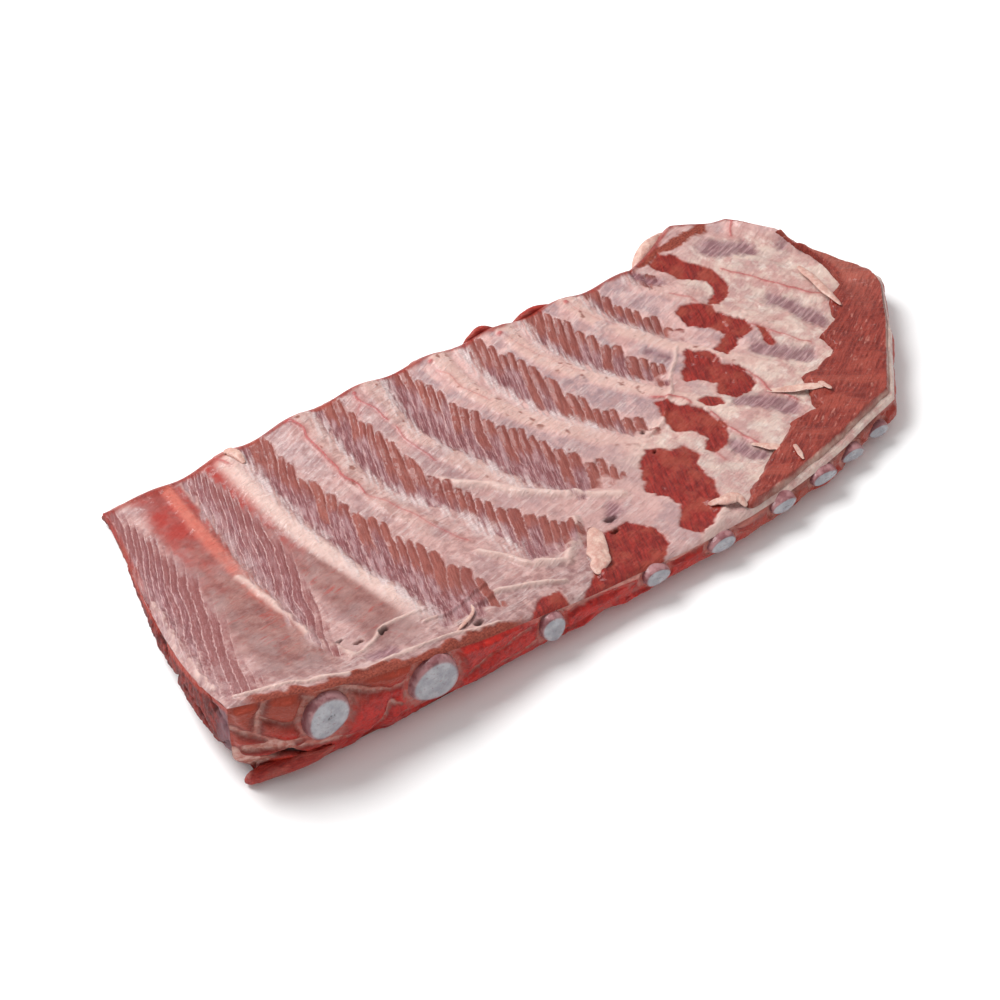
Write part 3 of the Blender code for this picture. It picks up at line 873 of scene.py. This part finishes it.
def side_surface(along, up):
    """Point on a cut side: up is 0 at the underside and 1 at the inner side."""
    rib, across = rim_place(along)
    x, y = plan(rib, across)
    top = height(rib, across) + rib_waves(rib, across) - rim_drop(rib, across)
    low_rib = np.clip(rib, LEFT_END + INSET_RIBS, RIGHT_END - INSET_RIBS)
    low_across = np.clip(across, INSET_ACROSS, 1 - INSET_ACROSS)
    low_x, low_y = plan(low_rib, low_across)
    inset = np.maximum(np.hypot(x - low_x, y - low_y), 0.01)
    outward_x = (x - low_x) / inset
    outward_y = (y - low_y) / inset
    run = along * RIM_LENGTH
    in_front = along < 1 + TURN
    front = smooth_step(1 + TURN, 1 - TURN, along)
    left = smooth_step(3 - TURN, 3 + TURN, along)
    level = up * top
    below_top = top - level
    ragged = rough_noise(run, level, 5, 103)
    fine = rough_noise(run, level, 1.5, 104, 3)
    wiggle = (ragged - 0.5) * 1.5

    # Drawn seams of fat at the left of the front cut, a net of thinner ones further right, and
    # long layers in the left end.
    seams, strong, shaded_slit = fat_seams(x, level, wiggle, in_front)
    lobe_net, tone_net = cells(run, level, LOBE_LENGTH, LOBE_HEIGHT, 102)
    bent_level = level + (rough_noise(run, level, 26, 106) - 0.5) * LAYER_BEND
    lobe_layer, tone_layer = cells(run, bent_level, LAYER_LENGTH, LAYER_HEIGHT, 105)
    lobe_net = mix(lobe_net, lobe_layer, left)
    tone = mix(tone_net, tone_layer, left)
    net = smooth_step(2.9, 3.4, rib) * front + (1 - front)
    fat = np.maximum(strong, net * smooth_step(0.16, 0.04, lobe_net + (ragged - 0.5) * 0.25))
    ring = cartilage_ring(x, level) * front

    # How far each point stands out of the plain side.
    left_bulge = LEFT_BULGE * smooth_step(0.0, 0.6, across) * smooth_step(1.0, 0.9, across)
    bulge = mix(SIDE_BULGE, left_bulge, left) * np.sin(math.pi * np.clip(up, 0, 1)) ** 0.6
    lobes = mix(np.sqrt(np.clip(seams / 6, 0, 1)), smooth_step(0, 0.45, lobe_net), net)
    lobes = lobes * (1 - ring)
    lobe_depth = 1.8 - 0.8 * left + 1.4 * front * smooth_step(3.2, 2.2, rib)
    push = bulge + lobe_depth * lobes - 1.4 + 1.2 * (ragged - 0.5) + 0.4 * (fine - 0.5)
    push = push - 3 * shaded_slit - 1.2 * left * smooth_step(0.12, 0.0, lobe_net)
    push = push * smooth_step(0, 0.008, along) * smooth_step(4, 3.97, along)
    push = push * smooth_step(0, 0.06, up) * smooth_step(1, 0.94, up)
    base_x = mix(low_x, x, smooth_step(0, 0.4, up))
    base_y = mix(low_y, y, smooth_step(0, 0.4, up))

    torn_top = below_top + (ragged - 0.5) * 3
    top_strip = smooth_step(2.6, 0.8, torn_top) * mix(1, smooth_step(2.8, 3.2, rib), front)
    top_strip = top_strip * (1 - 0.75 * smooth_step(0.4, 0.5, along))
    top_strip = top_strip * (1 - left * smooth_step(0.2, 0.45, across))
    low_tone = 0.3 * tone + 0.7 * smooth_step(30, 22, level) * front
    deep_red = front * smooth_step(0.9, 1.6, rib + 0.3 * tone) * smooth_step(6.0, 3.8, rib)
    masks = {
        "fat": np.maximum(fat * (1 - left) * (1 - 0.8 * net), 0.45 * ring),
        "tone": np.where(rib < 1.9, low_tone, tone),
        "rim": left * smooth_step(4.5, 2.0, torn_top) * smooth_step(0.1, 0.3, across),
        "sheath": left * smooth_step(0.92, 0.95, across) * smooth_step(1.0, 0.98, across),
        # The left cut below its top strip is made dark: partly its own darker meat, partly painted shade.
        "dark": left * (1 - top_strip),
        "layer": smooth_step(0.12, 0.02, lobe_net) * left,
        "shaded_slit": shaded_slit,
        "outline": smooth_step(2.6, 0.6, seams) * smooth_step(-0.6, 0.3, seams) * (1 - left),
        "deep_red": deep_red * smooth_step(34, 24, level),
        "top": top_strip,
    }
    return (base_x + outward_x * push, base_y + outward_y * push, level), masks


look = Look("cut_meat")
tone = look.mask("tone")
fibre = look.speckle(1.2, 4, (2, 2, 1))
grain = look.speckle(0.8, 3)
mottle = look.speckle(3, 5)
cloud = look.speckle(9, 4)
meat = tone.blend(colour(146, 52, 30), colour(170, 26, 16))
meat = (cloud.between(0.4, 0.6) * 0.35).blend(meat, colour(156, 54, 32))
meat = (fibre.between(0.4, 0.7) * 0.2).blend(meat, colour(176, 70, 48))
meat = (look.mask("outline") * 0.6).blend(meat, colour(92, 26, 20))
vivid = mottle.between(0.35, 0.6).blend(colour(146, 6, 4), colour(190, 30, 20))
meat = (look.mask("deep_red") * 0.9).blend(meat, vivid)
meat = (grain.between(0.62, 0.75) * 0.3).blend(meat, colour(192, 122, 106))
# The left cut is dark maroon, partly the meat's own darker red and partly painted shade on that side.
maroon = mottle.between(0.35, 0.65).blend(colour(84, 18, 16), colour(136, 42, 34))
maroon = (look.mask("layer") * 0.8).blend(maroon, colour(52, 12, 12))
meat = look.mask("dark").blend(meat, maroon)
meat = (look.mask("sheath") * 0.7).blend(meat, colour(128, 92, 100))
meat = (look.mask("rim") * 0.8).blend(meat, colour(168, 62, 48))
fat = mottle.between(0.35, 0.65).blend(colour(216, 176, 164), colour(180, 112, 98))
base = (look.mask("fat") * 0.85).blend(meat, fat)
skin_edge = mottle.between(0.35, 0.6).blend(colour(192, 136, 124), colour(206, 168, 156))
base = (look.mask("top") * 0.6).blend(base, skin_edge)
# Painted shade fills the slit above the loose flap.
base = look.mask("shaded_slit").blend(base, colour(30, 10, 9))
wet = look.speckle(2.2, 6)
shine = 0.22 - 0.18 * look.mask("dark")
gloss = 0.26 + 0.3 * mottle + 0.25 * look.mask("dark")
side_look = look.finish(base, gloss, wet + fibre * 0.4, 1.0, coat=shine, subsurface=0.06)

# Name, start and end along the rim, and the columns and rows of its mesh.
SIDES = (
    ("front_cut", 0.0, 0.52, 950, 100),
    ("front_edge", 0.52, 2.0, 900, 60),
    ("back_edge_right", 2.0, 2.5, 450, 60),
    ("back_edge_left", 2.5, 3.0, 450, 60),
    ("left_cut", 3.0, 4.0, 420, 100),
)
for name, start, end, columns, rows in SIDES:
    side = grid_piece(name, columns, rows, lambda u, v: side_surface(mix(start, end, u), v))
    middle = side_surface(np.array([(start + end) / 2]), np.array([0.5]))[0]
    face_outward(side, (float(middle[0][0]), float(middle[1][0]), 0))
    side.data.materials.append(side_look)
    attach(side, "root")
    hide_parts("meat")

# ---------------------------------------------------------------------------------------------
# Underside. It lies on the table, a sheet of muscle and fat pressed flat by its own weight. It
# reaches just under the cut sides and has their finish, and is made as a left and a right half.
# ---------------------------------------------------------------------------------------------
UNDERSIDE_END = 0.13
UNDERSIDE_EDGE = 0.03
UNDERSIDE_LENGTH = 350
UNDERSIDE_COLUMNS = 160
UNDERSIDE_ROWS = 140
# Its muscles are sheets of about this size, which lean over by a share of their width.
SHEET_LENGTH = 38
SHEET_WIDTH = 70
SHEET_LEAN = 0.4
# The finishes of the cut sides that the underside has none of.
NOT_BELOW = ("rim", "sheath", "outline", "dark", "layer", "shaded_slit", "deep_red")


def underside_surface(u, v):
    """u runs from the left end to the right one and v from the back to the front."""
    rib = mix(LEFT_END + UNDERSIDE_END, RIGHT_END - UNDERSIDE_END, u)
    across = mix(UNDERSIDE_EDGE, 1 - UNDERSIDE_EDGE, v)
    x, y = plan(rib, across)
    lobe, tone = cells(x + y * SHEET_LEAN, y, SHEET_LENGTH, SHEET_WIDTH, 111)
    ragged = rough_noise(x, y, 9, 112)
    to_end = np.minimum(u, 1 - u) * UNDERSIDE_LENGTH
    to_edge = np.minimum(v, 1 - v) * RACK_WIDTH
    lift = 0.9 * smooth_step(0.2, 0.0, lobe) + 0.9 * ragged
    masks = {name: np.zeros_like(x) for name in NOT_BELOW}
    masks["fat"] = smooth_step(0.30, 0.08, lobe + (ragged - 0.5) * 0.5)
    masks["tone"] = tone
    masks["top"] = smooth_step(0.5, 0.75, ragged)
    return (x, y, lift * smooth_step(0, 5, np.minimum(to_end, to_edge))), masks


for half, name in enumerate(("underside_left", "underside_right")):
    underside = grid_piece(
        name, UNDERSIDE_COLUMNS, UNDERSIDE_ROWS,
        lambda u, v: underside_surface((u + half) / 2, v),
    )
    face_outward(underside, (0, 0, -1))
    underside.data.materials.append(side_look)
    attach(underside, "root")
    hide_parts("meat")

# ---------------------------------------------------------------------------------------------
# Ribs. Each is bone at the sawn edge and cartilage at the front, where its cut end stands a
# little out of the meat: bluish white inside, with a rim of pink skin.
# ---------------------------------------------------------------------------------------------
RIBS = 9
BONE_HALF_WIDTH = 7.5
BONE_HALF_HEIGHT = 2.8
BACK_COVER = 1.9
# Shares across at which a rib starts to widen into cartilage and to drift along the front.
GROWTH_START = 0.25
DRIFT_START = 0.3
# Millimetres that the cut ends stand out, and that a rib lies deeper away from the front cut.
END_STANDS_OUT = 2.8
BONE_STANDS_OUT = 0.8
BONE_SUNK = 2.6
END_DOME = 0.8
RIB_AROUND = 64
RIB_LENGTHWAYS = 240
# Share of a rib's rows that each end face takes.
FACE_SHARE = 0.1


def close_seams():
    """Joins the edges of a grid that was rolled into a closed shape, and turns its faces out."""
    bpy.ops.object.mode_set(mode="EDIT")
    bpy.ops.mesh.select_all(action="SELECT")
    bpy.ops.mesh.remove_doubles(threshold=1e-6)
    bpy.ops.mesh.normals_make_consistent(inside=False)
    bpy.ops.object.mode_set(mode="OBJECT")


def rib_surface(number):
    """Shape of one rib as a closed sausage: v runs along it with both end faces, u round it."""
    index = number - 1

    def shape(u, v):
        face = np.clip(np.maximum(FACE_SHARE - v, v - 1 + FACE_SHARE) / FACE_SHARE, 0, 1)
        across = np.clip((v - FACE_SHARE) / (1 - 2 * FACE_SHARE), 0, 1)
        at_front = v > 0.5
        growth = smooth_step(GROWTH_START, 1.0, across)
        half_width = mix(BONE_HALF_WIDTH, CARTILAGE_HALF_WIDTH[index], growth)
        half_height = mix(BONE_HALF_HEIGHT, CARTILAGE_HALF_HEIGHT[index], growth)
        cover = mix(BACK_COVER, FRONT_COVER[index], growth)
        cover = cover + BONE_SUNK * smooth_step(0.99, 0.94, across)
        place = mix(number, CARTILAGE_PLACE[index], smooth_step(DRIFT_START, 1.0, across))
        x, y = plan(place, across)
        z = height(place, across) - cover - half_height
        size = 1 - face
        angle = 2 * math.pi * u
        wobble = 0.05 * np.sin(2 * angle + number) + 0.04 * np.sin(3 * angle + 2 * number)
        radius = (0.96 + wobble) * size
        near_end = smooth_step(0.02, 0.0, np.minimum(across, 1 - across))
        stand = np.where(at_front, -END_STANDS_OUT, BONE_STANDS_OUT) * near_end
        dome = np.where(at_front, -END_DOME, END_DOME) * (1 - size**3)
        pores = rough_noise(u * 40 + 7 * number, v * 60, 1.2, 120 + number, 3)
        x = x + half_width * np.cos(angle) * radius
        z = z + half_height * np.sin(angle) * radius
        y = y + stand * smooth_step(0, 0.12, face + 0.02) + dome - (pores - 0.5) * 0.3 * face
        masks = {"core": smooth_step(0.1, 0.22, face), "bone": np.where(at_front, 0.0, 1.0)}
        return (x, y, z), masks

    return shape


look = Look("cartilage_and_bone")
core = look.mask("core")
cloud = look.speckle(5, 4)
pore = look.speckle(1.0, 5)
blue = cloud.between(0.35, 0.65).blend(colour(178, 176, 181), colour(150, 148, 155))
blue = (pore.between(0.58, 0.68) * 0.55).blend(blue, colour(122, 72, 76))
rim = cloud.between(0.4, 0.6).blend(colour(168, 120, 122), colour(128, 76, 80))
base = core.blend(rim, blue)
marrow = pore.between(0.4, 0.6).blend(colour(176, 96, 82), colour(216, 176, 158))
base = (look.mask("bone") * core).blend(base, marrow)
bone_look = look.finish(base, 0.28 + 0.2 * cloud, pore * 0.6 + cloud, 0.5, coat=0.3, subsurface=0.1)

for number in range(1, RIBS + 1):
    name = f"rib_{number}_visual"
    rib = grid_piece(name, RIB_AROUND, RIB_LENGTHWAYS, rib_surface(number))
    close_seams()
    rib.data.materials.append(bone_look)
    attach(rib, "root")
    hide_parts(f"rib_{number}")

# ---------------------------------------------------------------------------------------------
# Skirt muscle. A thin red-brown flap of fine fibres lies over the cartilages at the right end,
# with a pale rim of fat where it was trimmed.
# ---------------------------------------------------------------------------------------------
# Rib number and share across along its inner and its outer edge, from the back to the front.
SKIRT_INNER = (
    (9.80, 0.06), (9.82, 0.20), (9.70, 0.45), (9.50, 0.60), (9.30, 0.72), (9.05, 0.745), (8.80, 0.68),
    (8.50, 0.71), (8.15, 0.68), (7.90, 0.665), (7.78, 0.725), (7.50, 0.715), (7.25, 0.74), (7.05, 0.72),
    (6.85, 0.77), (6.60, 0.83), (6.15, 0.81), (5.90, 0.85), (5.60, 0.88), (5.26, 0.92), (4.91, 0.975),
)
SKIRT_OUTER = (
    (9.95, 0.06), (9.96, 0.22), (9.96, 0.42), (9.96, 0.62), (9.96, 0.82), (9.8, 0.97), (9.2, 0.975),
    (8.5, 0.98), (7.8, 0.98), (7.1, 0.98), (6.4, 0.98), (5.7, 0.985), (5.0, 0.995),
)
# Millimetres that the flap rises over the meat, and that its edge is sunk into it.
SKIRT_RISE = 4.0
SKIRT_EDGE_SUNK = 1.2
SKIRT_LENGTHWAYS = 560
SKIRT_ROWS = 170
# Sine and cosine, rounded, of the angle at which its fibres run.
FIBRE_ASIDE = 0.55
FIBRE_AHEAD = 0.83


def skirt_edge(places, share):
    """Rib number and share across at shares of the way along an edge of the flap."""
    steps = np.linspace(0, 1, len(places))
    rib = np.interp(share, steps, [place[0] for place in places])
    return rib, np.interp(share, steps, [place[1] for place in places])


def skirt_surface(u, v):
    """u runs along the flap from back to front, v over it: edge, upper side, edge."""
    inner_rib, inner_across = skirt_edge(SKIRT_INNER, u)
    outer_rib, outer_across = skirt_edge(SKIRT_OUTER, u)
    rib = mix(inner_rib, outer_rib, v)
    across = mix(inner_across, outer_across, v)
    x, y = plan(rib, across)
    edge_x, edge_y = plan(inner_rib, inner_across)
    from_inner = np.hypot(x - edge_x, y - edge_y)
    edge_x, edge_y = plan(outer_rib, outer_across)
    from_outer = np.hypot(x - edge_x, y - edge_y)
    rag = (rough_noise(x, y, 11, 131) - 0.5) * 8
    rise = smooth_step(-0.5, 3.5, from_inner + rag) * smooth_step(-0.3, 2.5, from_outer)
    rise = rise * smooth_step(0, 0.02, np.minimum(u, 1 - u))
    aside = x * FIBRE_ASIDE + y * FIBRE_AHEAD
    ahead = x * FIBRE_AHEAD - y * FIBRE_ASIDE
    fibre = rough_noise(aside, ahead * 0.22, 1.5, 132, 3)
    broad = rough_noise(aside, ahead * 0.35, 8, 133, 3)
    z = height(rib, across) + rib_waves(rib, across) - rim_drop(rib, across) - SKIRT_EDGE_SUNK
    z = z + rise * (SKIRT_RISE + 2.2 * (broad - 0.5) + 1.0 * (fibre - 0.5))
    rim = smooth_step(2.4, 0.6, from_outer + (broad - 0.5) * 4)
    masks = {
        "edge": 1 - rise,
        "rim": 0.85 * rim * smooth_step(0.5, 0.62, u + 0.2 * broad),
        "broad": broad,
        "corner": smooth_step(0.5, 0.2, u) * smooth_step(0.3, 0.6, v),
    }
    return (x, y, z), masks


look = Look("skirt_meat")
FIBRE_TURN = math.radians(-57)
fibre = look.speckle(1.1, 5, (1, 7, 2), FIBRE_TURN)
mottle = look.speckle(3.5, 5)
broad = look.mask("broad")
meat = fibre.between(0.3, 0.7).blend(colour(110, 28, 20), colour(154, 60, 47))
meat = (broad.between(0.45, 0.7) * 0.5).blend(meat, colour(168, 76, 60))
# Painted highlights: pale streaks along the fibres of the flap.
highlight_streak = look.speckle(1.6, 5, (1, 4, 1), FIBRE_TURN)
meat = (highlight_streak.between(0.58, 0.72) * 0.55).blend(meat, colour(206, 140, 126))
fat = mottle.between(0.4, 0.6).blend(colour(216, 180, 164), colour(196, 146, 132))
meat = (look.mask("corner") * 0.45).blend(meat, colour(188, 112, 96))
base = look.mask("rim").blend(meat, fat)
base = (look.mask("edge") * 0.5).blend(base, colour(104, 34, 26))
relief = fibre + look.speckle(2.4, 6) * 0.8
skirt_look = look.finish(base, 0.22 + 0.35 * mottle, relief, 1.0, coat=0.3, subsurface=0.06)

skirt = grid_piece("skirt_flap", SKIRT_LENGTHWAYS, SKIRT_ROWS, skirt_surface)
face_outward(skirt, (0, 0, 1))
skirt.data.materials.append(skirt_look)
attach(skirt, "root")
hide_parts("skirt_muscle")

# ---------------------------------------------------------------------------------------------
# Loose bits of the surface: strips of fat and torn skin that stand up from it, lumps of fat on
# the sawn edge, and a flap of meat hanging loose at the bottom of the front cut.
# ---------------------------------------------------------------------------------------------
SCRAP_LENGTHWAYS = 90
SCRAP_AROUND = 24
# How blunt the ends of a strip are, from 0 for square, and how many rags its edge has.
SCRAP_TAPER = 0.45
SCRAP_RAGS = 7
RAG_VALUES = 61
OTHER_EDGE_START = 20
FIRST_SCRAP_SEED = 140


def curve_through(corners, share):
    """Points on a smooth curve through corners, at shares of its length from 0 to 1."""
    corners = np.array(corners, float)
    corners = np.vstack([2 * corners[0] - corners[1], corners, 2 * corners[-1] - corners[-2]])
    place = share * (len(corners) - 3)
    start = np.minimum(place.astype(int), len(corners) - 4)
    t = (place - start)[:, None]
    before, first, second, after = (corners[start + step] for step in range(4))
    linear = (second - before) * t
    square = (2 * before - 5 * first + 4 * second - after) * t**2
    cube = (3 * first - before - 3 * second + after) * t**3
    return 0.5 * (2 * first + linear + square + cube)


def scrap_surface(corners, width, thickness, seed):
    """Shape of a ragged strip along a curve: u runs along it and v round it."""

    def shape(u, v):
        middle = curve_through(corners, u)
        ahead = curve_through(corners, np.clip(u + 0.01, 0, 1))
        ahead = ahead - curve_through(corners, np.clip(u - 0.01, 0, 1))
        level = np.maximum(np.hypot(ahead[:, 0], ahead[:, 1]), 1e-6)
        side_x = ahead[:, 1] / level
        side_y = -ahead[:, 0] / level
        angle = 2 * math.pi * v
        taper = np.clip(np.sin(math.pi * u), 0, 1) ** SCRAP_TAPER
        # The two edges take their rags from places well apart in one row of random values.
        rags = np.random.RandomState(seed).rand(RAG_VALUES)
        rag_place = u * SCRAP_RAGS + OTHER_EDGE_START * (np.cos(angle) > 0)
        edge = np.interp(rag_place, np.arange(RAG_VALUES), rags)
        half = width / 2 * taper * (0.75 + 0.5 * edge)
        out = half * np.cos(angle)
        rough = rough_noise(u * 30, np.cos(angle) * 6 + seed, 5, seed)
        lift = thickness / 2 * taper * np.sin(angle) * (0.7 + 0.6 * rough)
        points = (middle[:, 0] + side_x * out, middle[:, 1] + side_y * out, middle[:, 2] + lift)
        return points, {"rough": rough, "edge": abs(np.cos(angle)) ** 4}

    return shape


def on_rack(places):
    """Points in millimetres from rib number, share across and height above the inner side."""
    corners = []
    for rib, across, lift in places:
        x, y = plan(rib, across)
        z = height(rib, across) + rib_waves(rib, across)
        corners.append((float(x), float(y), float(z) + lift))
    return corners


look = Look("torn_fat")
rough = look.mask("rough")
mottle = look.speckle(2.5, 5)
pale = mottle.between(0.35, 0.65).blend(colour(214, 180, 166), colour(190, 144, 132))
base = (rough.between(0.4, 0.7) * 0.4).blend(pale, colour(186, 128, 116))
base = (look.mask("edge") * 0.4).blend(base, colour(206, 170, 160))
relief = mottle + look.speckle(0.8, 3) * 0.4
fat_look = look.finish(base, 0.34 + 0.3 * mottle, relief, 0.8, coat=0.3, subsurface=0.1)

look = Look("loose_meat")
rough = look.mask("rough")
fibre = look.speckle(1.2, 4, (5, 1, 1), math.radians(-8))
red = fibre.between(0.3, 0.7).blend(colour(136, 24, 18), colour(174, 54, 42))
base = (rough.between(0.45, 0.7) * 0.4).blend(red, colour(176, 96, 82))
gloss = 0.24 + 0.3 * look.speckle(3, 5)
meat_look = look.finish(base, gloss, fibre + look.speckle(2.2, 6), 1.0, coat=0.22)

# Name, material, width and thickness in millimetres, and places with heights above the inner
# side that it passes.
SCRAPS = (
    (
        "fat_strip", fat_look, 4.6, 2.0,
        ((9.36, 0.48, 0.8), (9.20, 0.56, 2.2), (8.98, 0.65, 3.0), (8.76, 0.73, 3.6)),
    ),
    (
        "skirt_curl", fat_look, 5.4, 2.2,
        ((4.80, 0.90, 0.0), (4.86, 0.925, 2.6), (4.98, 0.945, 3.0), (4.99, 0.98, 1.6)),
    ),
    (
        "torn_tag_1", fat_look, 2.6, 0.9,
        ((7.02, 0.76, 1.5), (6.95, 0.80, 3.6), (6.93, 0.835, 3.8)),
    ),
    (
        "torn_tag_2", fat_look, 2.4, 0.9,
        ((5.95, 0.87, 1.5), (5.86, 0.92, 3.2), (5.83, 0.96, 2.8)),
    ),
    (
        "torn_tag_3", fat_look, 1.6, 0.8,
        ((2.34, 0.955, 0.4), (2.48, 0.935, 1.6), (2.60, 0.91, 0.9), (2.64, 0.885, 1.6)),
    ),
    (
        "torn_tag_4", fat_look, 5.0, 2.4,
        ((2.08, 0.005, 0.0), (2.14, 0.03, 1.0), (2.18, 0.08, 0.8)),
    ),
    (
        "fat_lump", fat_look, 9.0, 2.4,
        ((3.98, 0.80, 0.2), (3.86, 0.86, 1.0), (3.76, 0.91, 1.2), (3.66, 0.955, 0.2)),
    ),
    (
        "back_scrap_1", meat_look, 3.4, 3.4,
        ((5.60, -0.004, -3.5), (5.85, -0.008, -1.2), (6.10, -0.004, -3.5)),
    ),
    (
        "back_scrap_2", meat_look, 3.4, 3.4,
        ((6.36, -0.004, -3.5), (6.64, -0.008, -1.0), (6.96, -0.004, -3.5)),
    ),
    (
        "back_scrap_3", fat_look, 6.0, 6.0,
        ((8.36, -0.012, -7.0), (8.62, -0.022, -3.5), (8.95, -0.012, -5.0)),
    ),
    (
        "torn_edge_1", fat_look, 4.4, 0.6,
        ((6.66, 0.68, 0.0), (6.76, 0.73, 0.9), (6.86, 0.78, 3.0), (6.92, 0.81, 3.6)),
    ),
    (
        "torn_edge_2", fat_look, 4.0, 0.6,
        ((5.70, 0.80, 0.2), (5.76, 0.86, 1.8), (5.82, 0.92, 2.8)),
    ),
)
for index, (name, finish, width, thickness, places) in enumerate(SCRAPS):
    shape = scrap_surface(on_rack(places), width, thickness, FIRST_SCRAP_SEED + index)
    scrap = grid_piece(name, SCRAP_LENGTHWAYS, SCRAP_AROUND, shape)
    close_seams()
    scrap.data.materials.append(finish)
    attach(scrap, "root")
    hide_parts("meat")

# The loose flap passes these rib numbers and heights, just in front of the front edge.
FLAP = ((0.60, 2.0), (0.66, 4.0), (0.80, 6.5), (0.95, 9.0), (1.12, 10.5))
FLAP_STANDS_OUT = 0.5
FLAP_WIDTH = 6.0
FLAP_THICKNESS = 7.0
FLAP_SEED = 160
flap_line = []
for rib_number, level in FLAP:
    flap_x, flap_y = plan(rib_number, 1.0)
    flap_line.append((float(flap_x), float(flap_y) - FLAP_STANDS_OUT, level))
shape = scrap_surface(flap_line, FLAP_WIDTH, FLAP_THICKNESS, FLAP_SEED)
flap = grid_piece("loose_flap", SCRAP_LENGTHWAYS, SCRAP_AROUND, shape)
close_seams()
flap.data.materials.append(meat_look)
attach(flap, "root")
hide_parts("meat")

# ---------------------------------------------------------------------------------------------
# Studio: a pale floor, soft light from all round and a large lamp above on the left.
# ---------------------------------------------------------------------------------------------
FLOOR_SIDE = 8
FLOOR_GAP = 0.0005
bpy.ops.mesh.primitive_plane_add(size=FLOOR_SIDE, location=(0, 0, -FLOOR_GAP))
floor = bpy.context.object
floor.name = "floor"
floor_look = Look("pale_floor")
floor_tint = floor_look.speckle(400, 2).blend(colour(252, 252, 252), colour(255, 255, 255))
floor.data.materials.append(floor_look.finish(floor_tint, 0.9, floor_look.speckle(50, 2), 0.0))

# The room looks white but lights the rack with a little over half of that strength.
ROOM_STRENGTH = 0.56
world = bpy.data.worlds.new("studio")
bpy.context.scene.world = world
world.use_nodes = True
sky = Value(world.node_tree, None)
background = world.node_tree.nodes["Background"]
seen = sky.node("ShaderNodeLightPath", output=0)
sky.put(background.inputs["Strength"], seen * 1.0 + (1 - seen) * ROOM_STRENGTH)
background.inputs["Color"].default_value = (1, 1, 1, 1)

LAMP_PLACE = (-0.35, 0.45, 0.9)
LAMP_WATTS = 13
LAMP_SIDE = 0.6
bpy.ops.object.light_add(type="AREA", location=LAMP_PLACE)
key = bpy.context.object
key.name = "key_lamp"
key.data.energy = LAMP_WATTS
key.data.size = LAMP_SIDE
key.rotation_euler = (math.radians(-27), math.radians(-21), 0)

CAMERA_AZIMUTH = math.radians(33)
CAMERA_ELEVATION = math.radians(44)
CAMERA_DISTANCE = 0.96
AIM = (-0.032, -0.024, 0.018)
bpy.ops.object.camera_add()
camera = bpy.context.object
camera.data.lens = 85
camera.data.clip_end = 20
level = CAMERA_DISTANCE * math.cos(CAMERA_ELEVATION)
camera.location = (
    AIM[0] - level * math.sin(CAMERA_AZIMUTH),
    AIM[1] - level * math.cos(CAMERA_AZIMUTH),
    AIM[2] + CAMERA_DISTANCE * math.sin(CAMERA_ELEVATION),
)
camera.rotation_euler = (math.pi / 2 - CAMERA_ELEVATION, 0, -CAMERA_AZIMUTH)
bpy.context.scene.camera = camera
bpy.context.scene.view_settings.view_transform = "Standard"
